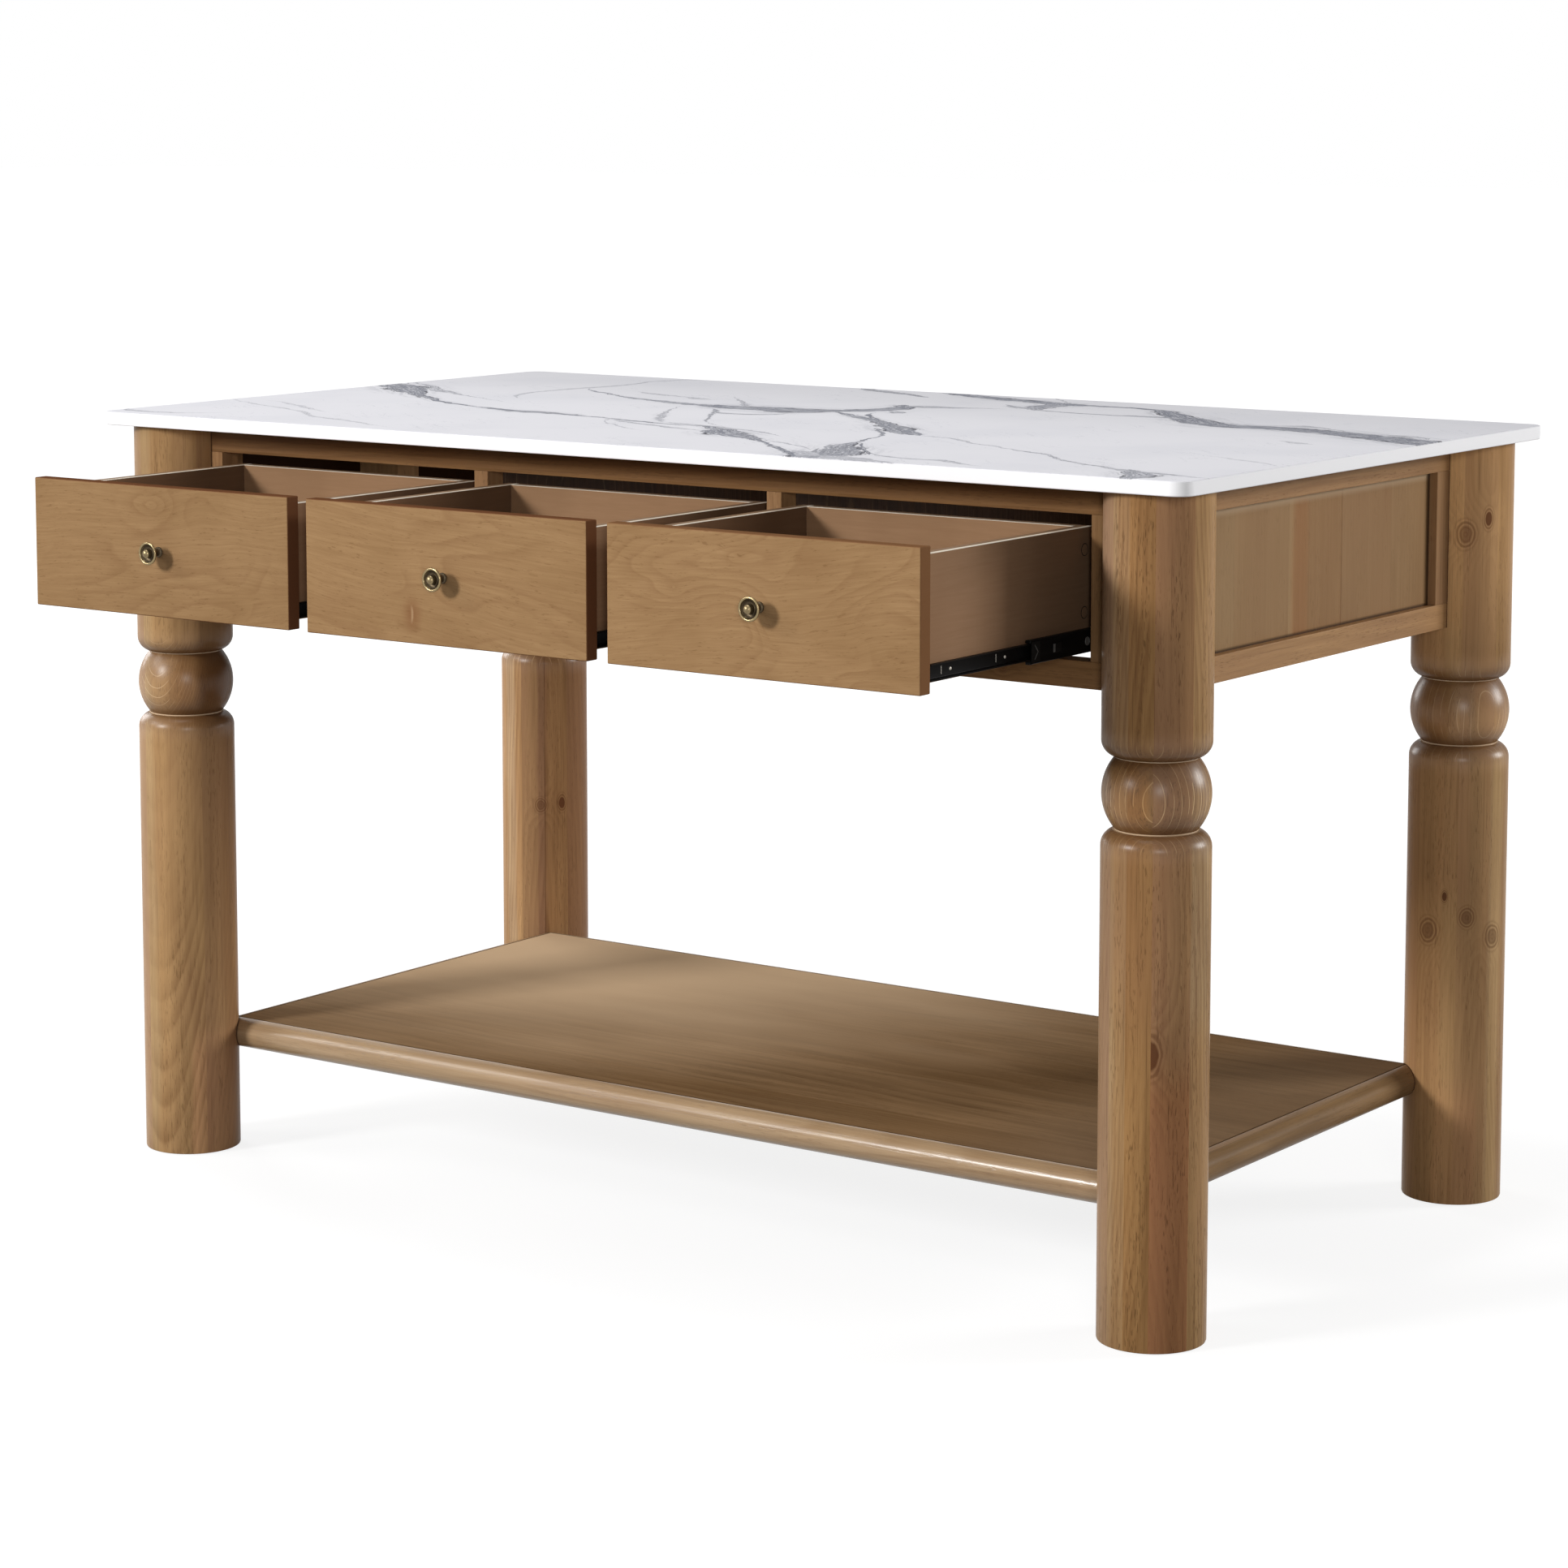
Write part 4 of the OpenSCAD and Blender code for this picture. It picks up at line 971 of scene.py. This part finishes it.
def dress_panels():
    """Woods of the panels and the partitions, and of the posts and bolts inside the box. The partitions'
    near-black wood is painted shade, and the posts' pale wood is painted light.
    """
    panel = dict(grain="z", light=(0.297, 0.173, 0.078), dark=(0.205, 0.111, 0.045),
                 red=(0.235, 0.123, 0.053), tone=0.5, figure=0.1, fibre=0.3, pores=0.3, centre=ISLAND_CENTRE)
    for side, seed in (("left", 2.2), ("right", 6.4)):
        dress(f"{side}_panel", timber(f"panel_wood_{side}_panel", stave=0.12, seed=seed, stave_turn=90,
                                      extra=end_boards, **panel))
    dress("rear_panel", timber("panel_wood_rear", stave=0.13, seed=4.1, extra=panel_shade, **panel))
    rough = dict(grain="z", figure=0.3, fibre=0.8, pores=0.8, lines=0.1, shine=0.25)
    # Near-black wood: painted shade inside the box
    shaded_carcass = timber("carcass_wood", stave=0.12, seed=8.3, light=(0.07, 0.034, 0.016),
                     dark=(0.03, 0.014, 0.007), red=(0.045, 0.02, 0.01), gloss=0.5, **rough)
    for name in ("partition_left", "partition_right"):
        dress(name, shaded_carcass)
    # Pale wood: painted light on the posts, which sit in shade
    dress("runner_posts", timber("post_wood_painted_light", stave=0.06, seed=3.3, light=(0.5, 0.32, 0.16),
                                 dark=(0.34, 0.2, 0.095), **rough))
    dress("leg_bolts", coated_steel("zinc_plate_bolts", (0.6, 0.6, 0.58), 0.3, 1.0))


# Shelf

def shelf_rail(half_len):
    """A rail with a rounded nose, along X. Its section has the panel's edge at y 0, and a ledge under it."""
    bm = bmesh.new()
    nose = arc(0, -NOSE_R, NOSE_R, 90, 270, 24)
    section = nose + [(LEDGE, -2 * NOSE_R), (LEDGE, -SHELF_T), (0, -SHELF_T), (0, -1.2)]
    face = bm.faces.new([bm.verts.new((-half_len, y, SHELF_Z + z)) for y, z in section])
    pushed(bm, bmesh.ops.extrude_face_region(bm, geom=[face])["geom"], (2 * half_len, 0, 0))
    bmesh.ops.recalc_face_normals(bm, faces=bm.faces)
    smooth(bm)
    return bm


def build_shelf(cutter):
    rail = dict(stave=0.05, tone=0.2, fibre=0.8, extra=seam_and_slab_shade)
    # Front nosing's paler, greyer wood is partly a painted highlight; the end nosings' darker wood is painted
    # shade
    front_wood = timber("shelf_rail_wood_long", "x", seed=6.6, light=(0.5, 0.352, 0.205),
                        dark=(0.33, 0.215, 0.113), gloss=0.15, shine=0.3, **rail)
    end_wood = timber("shelf_rail_wood_short", "y", seed=2.9, light=(0.28, 0.172, 0.083),
                      dark=(0.18, 0.105, 0.047), gloss=0.22, shine=0.03, **rail)
    for name, angle in (("front", 0), ("rear", 180), ("right", 90), ("left", 270)):
        half, off, look = (SHELF_Y, SHELF_X, end_wood) if angle % 180 else (SHELF_X, SHELF_Y, front_wood)
        bm = shelf_rail(half)
        bmesh.ops.translate(bm, vec=(0, -off, 0), verts=bm.verts)
        turn_mesh(bm, "Z", angle)
        piece(f"shelf_{name}_nosing", bm, look, ISLAND, f"shelf_{name}_rail", cut=cutter,
              weighted=True)
    dress("shelf_panel", timber("shelf_board_wood", "x", stave=0.155, seed=5.5, light=(0.246, 0.146, 0.071),
                                dark=(0.133, 0.075, 0.034), red=(0.18, 0.094, 0.036), figure=0.35, fibre=0.7,
                                ring=0.012, gloss=0.35, shine=0.0, stave_turn=90, centre=ISLAND_CENTRE,
                                extra=shelf_tone_and_sheen))


# Drawers

def build_drawer(name, cx, shared):
    body = f"{name}_drawer"
    bm = bmesh.new()
    eased_cube(bm, cx - FRONT_W / 2, cx + FRONT_W / 2, FRONT_OUT, FRONT_OUT + FRONT_T, FRONT_Z,
               FRONT_Z + FRONT_H, offset=1.3, segments=3)
    centre = (cx * MM, (FRONT_OUT + ORIGIN_Y) * MM, KNOB_Z * MM)
    look = veneer(f"front_veneer_{name}", centre, **VENEERS[name])
    piece(f"{name}_drawer_face", bm, look, body, f"{body}_front")
    for part in ("left_side", "right_side", "back", "bottom"):
        dress(f"{body}_{part}", shared["side_ply" if "side" in part else "back_ply"])
    bm = spun(knob_points(), 56, "X", 90, (cx, FRONT_OUT, KNOB_Z))
    screw = [(0, 2.4), (2.6, 2.3), (4.0, 1.5), (4.2, 0.4), (4.2, 0), (2.0, 0), (2.0, -9.5), (0, -9.5)]
    merged(bm, spun(screw, 28, "X", -90, (cx, FRONT_OUT + FRONT_T, KNOB_Z)))
    smooth(bm, 32)
    piece(f"{name}_knob", bm, aged_brass(f"aged_brass_{name}", centre), body, f"{body}_knob")
    build_cam_covers(name, cx, shared)


def knob_points():
    """Half outline of the knob, from its foot on the drawer front at 0 out to the button."""
    rim, ring_z, button = 1.45, 18, 5.6
    foot = [(0, 0), (5.6, 0), (6.0, 0.5), (6.0, 1.4), (5.5, 2.2)]
    neck = [(4.4, 3.0), (3.9, 4.4), (3.8, 7.0), (4.2, 9.4), (5.6, 11.6), (8.0, 13.8), (10.6, 15.9)]
    outer = arc(KNOB_R - rim, ring_z, rim, -75, 165, 14)
    dish = [(9.6, 17.3), (8.2, 15.9), (7.0, 15.1), (6.0, 15.0), (5.3, 15.6), (5.0, 16.8), (4.85, 18.2)]
    dome = arc(0, KNOB_OUT - button, button, 30, 90, 9)[:-1]
    return foot + neck + outer + dish + dome + [(0, KNOB_OUT)]


def build_cam_covers(name, cx, shared):
    """Round cam covers near the rear of both drawer sides, each in a thin dark ring."""
    rear = FRONT_OUT + FRONT_T + BOX_LEN - BOX_T / 2 - CAM_INSET
    ring = [(0, 0.25), (6.4, 0.25), (6.7, 0.1), (6.7, 0), (0, 0)]
    cap = [(0, 0.5), (4.6, 0.48), (5.7, 0.38), (5.9, 0.25), (5.9, 0.05), (0, 0.05)]
    for part, points, look in (("rings", ring, "dark_plastic"), ("covers", cap, "side_ply")):
        bm = bmesh.new()
        for sx in (-1, 1):
            for z in CAM_Z:
                merged(bm, spun(points, 40, "Y", 90 * sx, (cx + sx * BOX_HALF, rear, z)))
        smooth(bm, 35)
        piece(f"{name}_cam_{part}", bm, shared[look], f"{name}_drawer")


# Runners: each member is drawn for the drawer's right side, s counted from the cabinet wall and heights about
# the runner, then mirrored

def folded(section, y0, y1, fold):
    """A sheet bent along Y through the (s, z) points of its section."""
    bm = bmesh.new()
    line = [bm.verts.new((s, y0, z)) for s, z in section]
    seams = [bm.edges.new(pair) for pair in zip(line, line[1:])]
    pushed(bm, bmesh.ops.extrude_edge_only(bm, edges=seams)["geom"], (0, y1 - y0, 0))
    ease(bm, [e for e in bm.edges if rise(e, "y") > 1 and len(e.link_faces) == 2], fold, 4)
    bmesh.ops.recalc_face_normals(bm, faces=bm.faces)
    bmesh.ops.solidify(bm, geom=bm.faces, thickness=SHEET_T)
    bmesh.ops.recalc_face_normals(bm, faces=bm.faces)
    smooth(bm, 40)
    return bm


def on_both_sides(name, bm, cx, look, body, replaces=None):
    """A piece that stands on both sides of a drawer, as it was drawn from the cabinet wall."""
    bmesh.ops.scale(bm, vec=(-1, 1, 1), verts=bm.verts)
    bmesh.ops.translate(bm, vec=(OPENING_W / 2, 0, RUNNER_Z), verts=bm.verts)
    bmesh.ops.reverse_faces(bm, faces=bm.faces)
    whole = bm.verts[:] + bm.edges[:] + bm.faces[:]
    bmesh.ops.mirror(bm, geom=whole, matrix=Matrix.Identity(4), merge_dist=-1, axis="X")
    bmesh.ops.translate(bm, vec=(cx, 0, 0), verts=bm.verts)
    bmesh.ops.recalc_face_normals(bm, faces=bm.faces)
    piece(name, bm, look, body, replaces)


def build_runners(name, cx, shared):
    """The three members of a pair of runners, each with its section, start, length and size of folds."""
    channel = [(8.4, 14.4), (8.4, 16.9), (0.55, 16.9), (0.55, -16.9), (8.4, -16.9), (8.4, -14.4)]
    inner = [(9.8, 10.0), (9.8, 12.4), (2.4, 12.4), (2.4, -12.4), (9.8, -12.4), (9.8, -10.0)]
    rider = [(4.6, 8.4), (12.1, 8.4), (12.1, -8.4), (4.6, -8.4)]
    for part, body, replaces, section, start, size, fold in (
            ("fixed", ISLAND, "fixed", channel, RUNNER_Y, RUNNER_LEN, 1.6),
            ("middle", f"{name}_middle_members", "sliding", inner, MIDDLE_OUT, MIDDLE_LEN, 1.4),
            ("drawer", f"{name}_drawer", "drawer", rider, RUNNER_Y - TRAVEL, RUNNER_LEN, 1.8)):
        on_both_sides(f"{name}_{part}_members", folded(section, start, start + size, fold), cx,
                      shared["black_steel"], body, f"{name}_{replaces}_runners")


def build_runner_details(name, cx, shared):
    """Screws and slits on the drawer members; stops, clips and ringed holes on the middle members."""
    middle = f"{name}_middle_members"
    screws = bmesh.new()
    for y in SCREW_Y:
        head = [(0, 1.3), (1.265, 1.15), (2.07, 0.6), (2.3, 0.1), (2.3, 0), (0, 0)]
        merged(screws, spun(head, 24, "Y", -90, (11.5, y, -0.6)))
    for y in SLIT_Y:
        eased_cube(screws, 10.9, 11.4, y - 0.45, y + 0.45, -4.2, 4.2, offset=0.15, segments=1)
    smooth(screws, 35)
    on_both_sides(f"{name}_runner_screws", screws, cx, shared["zinc"], f"{name}_drawer")

    stops = bmesh.new()
    for s0, s1, y0, y1, z0, z1, edge in ((3.2, 9.0, -1.5, 5, 9.6, 12.6, 0.5),
                                         (3.2, 9.0, -1.5, 5, -12.6, -9.6, 0.5),
                                         (1.95, 2.6, 0.5, 16, -10.5, 10.5, 0.2),
                                         (1.95, 2.6, 46, 57, -4.6, 4.6, 0.25)):
        eased_cube(stops, s0, s1, MIDDLE_OUT + y0, MIDDLE_OUT + y1, z0, z1, offset=edge)
    on_both_sides(f"{name}_runner_stops", stops, cx, shared["dark_plastic"], middle)

    clips = bmesh.new()
    for angle, z in ((40, 3.6), (-40, -3.6)):
        before = len(clips.verts)
        eased_cube(clips, 1.78, 2.2, -0.5, 0.5, -5.2, 5.2, offset=0.15, segments=1)
        clips.verts.ensure_lookup_table()
        arm = clips.verts[before:]
        turn_mesh(clips, "X", angle, arm)
        bmesh.ops.translate(clips, vec=(0, MIDDLE_OUT + 9, z), verts=arm)
    eased_cube(clips, 1.8, 2.6, MIDDLE_OUT + 42, MIDDLE_OUT + 45.6, -4.4, 4.4, offset=0.3)
    for y in (MIDDLE_OUT + 109, MIDDLE_OUT + 160):
        ring = [(0, 0.1), (3.4, 0.1), (3.7, 0.5), (4.4, 0.5), (4.7, 0), (0, 0)]
        merged(clips, spun(ring, 32, "Y", -90, (2.35, y, 0)))
    smooth(clips, 35)
    on_both_sides(f"{name}_runner_clips", clips, cx, shared["worn_steel"], middle)


# Studio

def softbox(name, azimuth, elevation, far, size, level):
    """A square lamp aimed at the island. Azimuth 0 is in front and 90 at the right; level 1 lights a white
    card fully."""
    lamp = bpy.data.lights.new(name, "AREA")
    lamp.shape, lamp.size = "SQUARE", size
    lamp.energy = level * math.pi ** 2 * far ** 2
    made = bpy.data.objects.new(name, lamp)
    a, e = math.radians(azimuth), math.radians(elevation)
    away = Vector((math.sin(a) * math.cos(e), -math.cos(a) * math.cos(e), math.sin(e)))
    made.location = AIM + away * far
    made.rotation_euler = away.to_track_quat("Z", "Y").to_euler()
    bpy.context.scene.collection.objects.link(made)


def build_lamps():
    world = bpy.data.worlds.new("studio")
    bpy.context.scene.world = world
    world.use_nodes = True
    back = world.node_tree.nodes["Background"]
    rays = node("ShaderNodeLightPath", {}, tree=world.node_tree).socket.node.outputs
    seen = highest(*(Value(rays[kind]) for kind in ("Is Camera Ray", "Is Glossy Ray", "Is Transmission Ray")))
    feed(back.inputs["Strength"], seen * (1 - AMBIENT) + AMBIENT)
    feed(back.inputs["Color"], (1, 1, 1))
    for name, lamp in LAMPS.items():
        softbox(f"{name}_softbox", *lamp)


def build_floor():
    look, place = material("pale_floor", Roughness=0.9, Specular_IOR_Level=0.1, Emission_Color=(1, 1, 1, 1))
    rays = node("ShaderNodeLightPath", {}, tree=place.tree).socket.node.outputs
    seen = highest(Value(rays["Is Camera Ray"]), Value(rays["Is Glossy Ray"]))
    lift = fade(length(place), 1.2, 4.5, FLOOR_NEAR, FLOOR_FAR)
    painted(look, Base_Color=mix(noise(place, scale=3.0), (0.2, 0.2, 0.2), (0.215, 0.215, 0.215)),
            Emission_Strength=seen * lift)
    bm = bmesh.new()
    bmesh.ops.create_grid(bm, x_segments=2, y_segments=2, size=40)
    floor = placed("floor", bm)
    floor.data.materials.append(look)
    floor.location.z = -0.0005


def build_camera():
    lens = bpy.data.cameras.new("photo_camera")
    lens.sensor_width, lens.lens, lens.shift_y = 36, CAMERA_LENS, CAMERA_SHIFT
    lens.clip_start, lens.clip_end = 0.1, 100
    camera = bpy.data.objects.new("photo_camera", lens)
    camera.location = TO_FRAME @ CAMERA_AT
    camera.rotation_euler = (math.radians(90 - CAMERA_PITCH), 0, math.radians(CAMERA_TURN))
    bpy.context.scene.collection.objects.link(camera)
    bpy.context.scene.camera = camera


def main():
    bpy.context.scene.view_settings.view_transform = "Standard"
    build_lamps()
    build_floor()
    build_camera()
    cutter = leg_cutter()
    build_worktop()
    build_legs()
    build_frame(cutter)
    dress_panels()
    build_shelf(cutter)
    bpy.data.objects.remove(cutter)
    shared = dict(
        side_ply=plywood("drawer_side_plywood", side_edge, (0.33, 0.197, 0.114), (0.252, 0.142, 0.078), 0.45),
        back_ply=plywood("drawer_back_plywood", back_edge, (0.335, 0.2, 0.112), (0.25, 0.145, 0.078)),
        black_steel=coated_steel("black_runner_steel", (0.0035, 0.003, 0.0028), 0.35, speckle=0.08,
                                 shine=0.025),
        dark_plastic=coated_steel("dark_moulding", (0.004, 0.0038, 0.0036), 0.4, speckle=0.1, shine=0.06),
        worn_steel=coated_steel("worn_runner_steel", (0.07, 0.067, 0.063), 0.4, shine=0.15),
        zinc=coated_steel("zinc_plate", (0.26, 0.24, 0.21), 0.4, 1.0),
    )
    for name, bay in BAYS.items():
        build_drawer(name, bay * BAY, shared)
        build_runners(name, bay * BAY, shared)
        build_runner_details(name, bay * BAY, shared)


main()
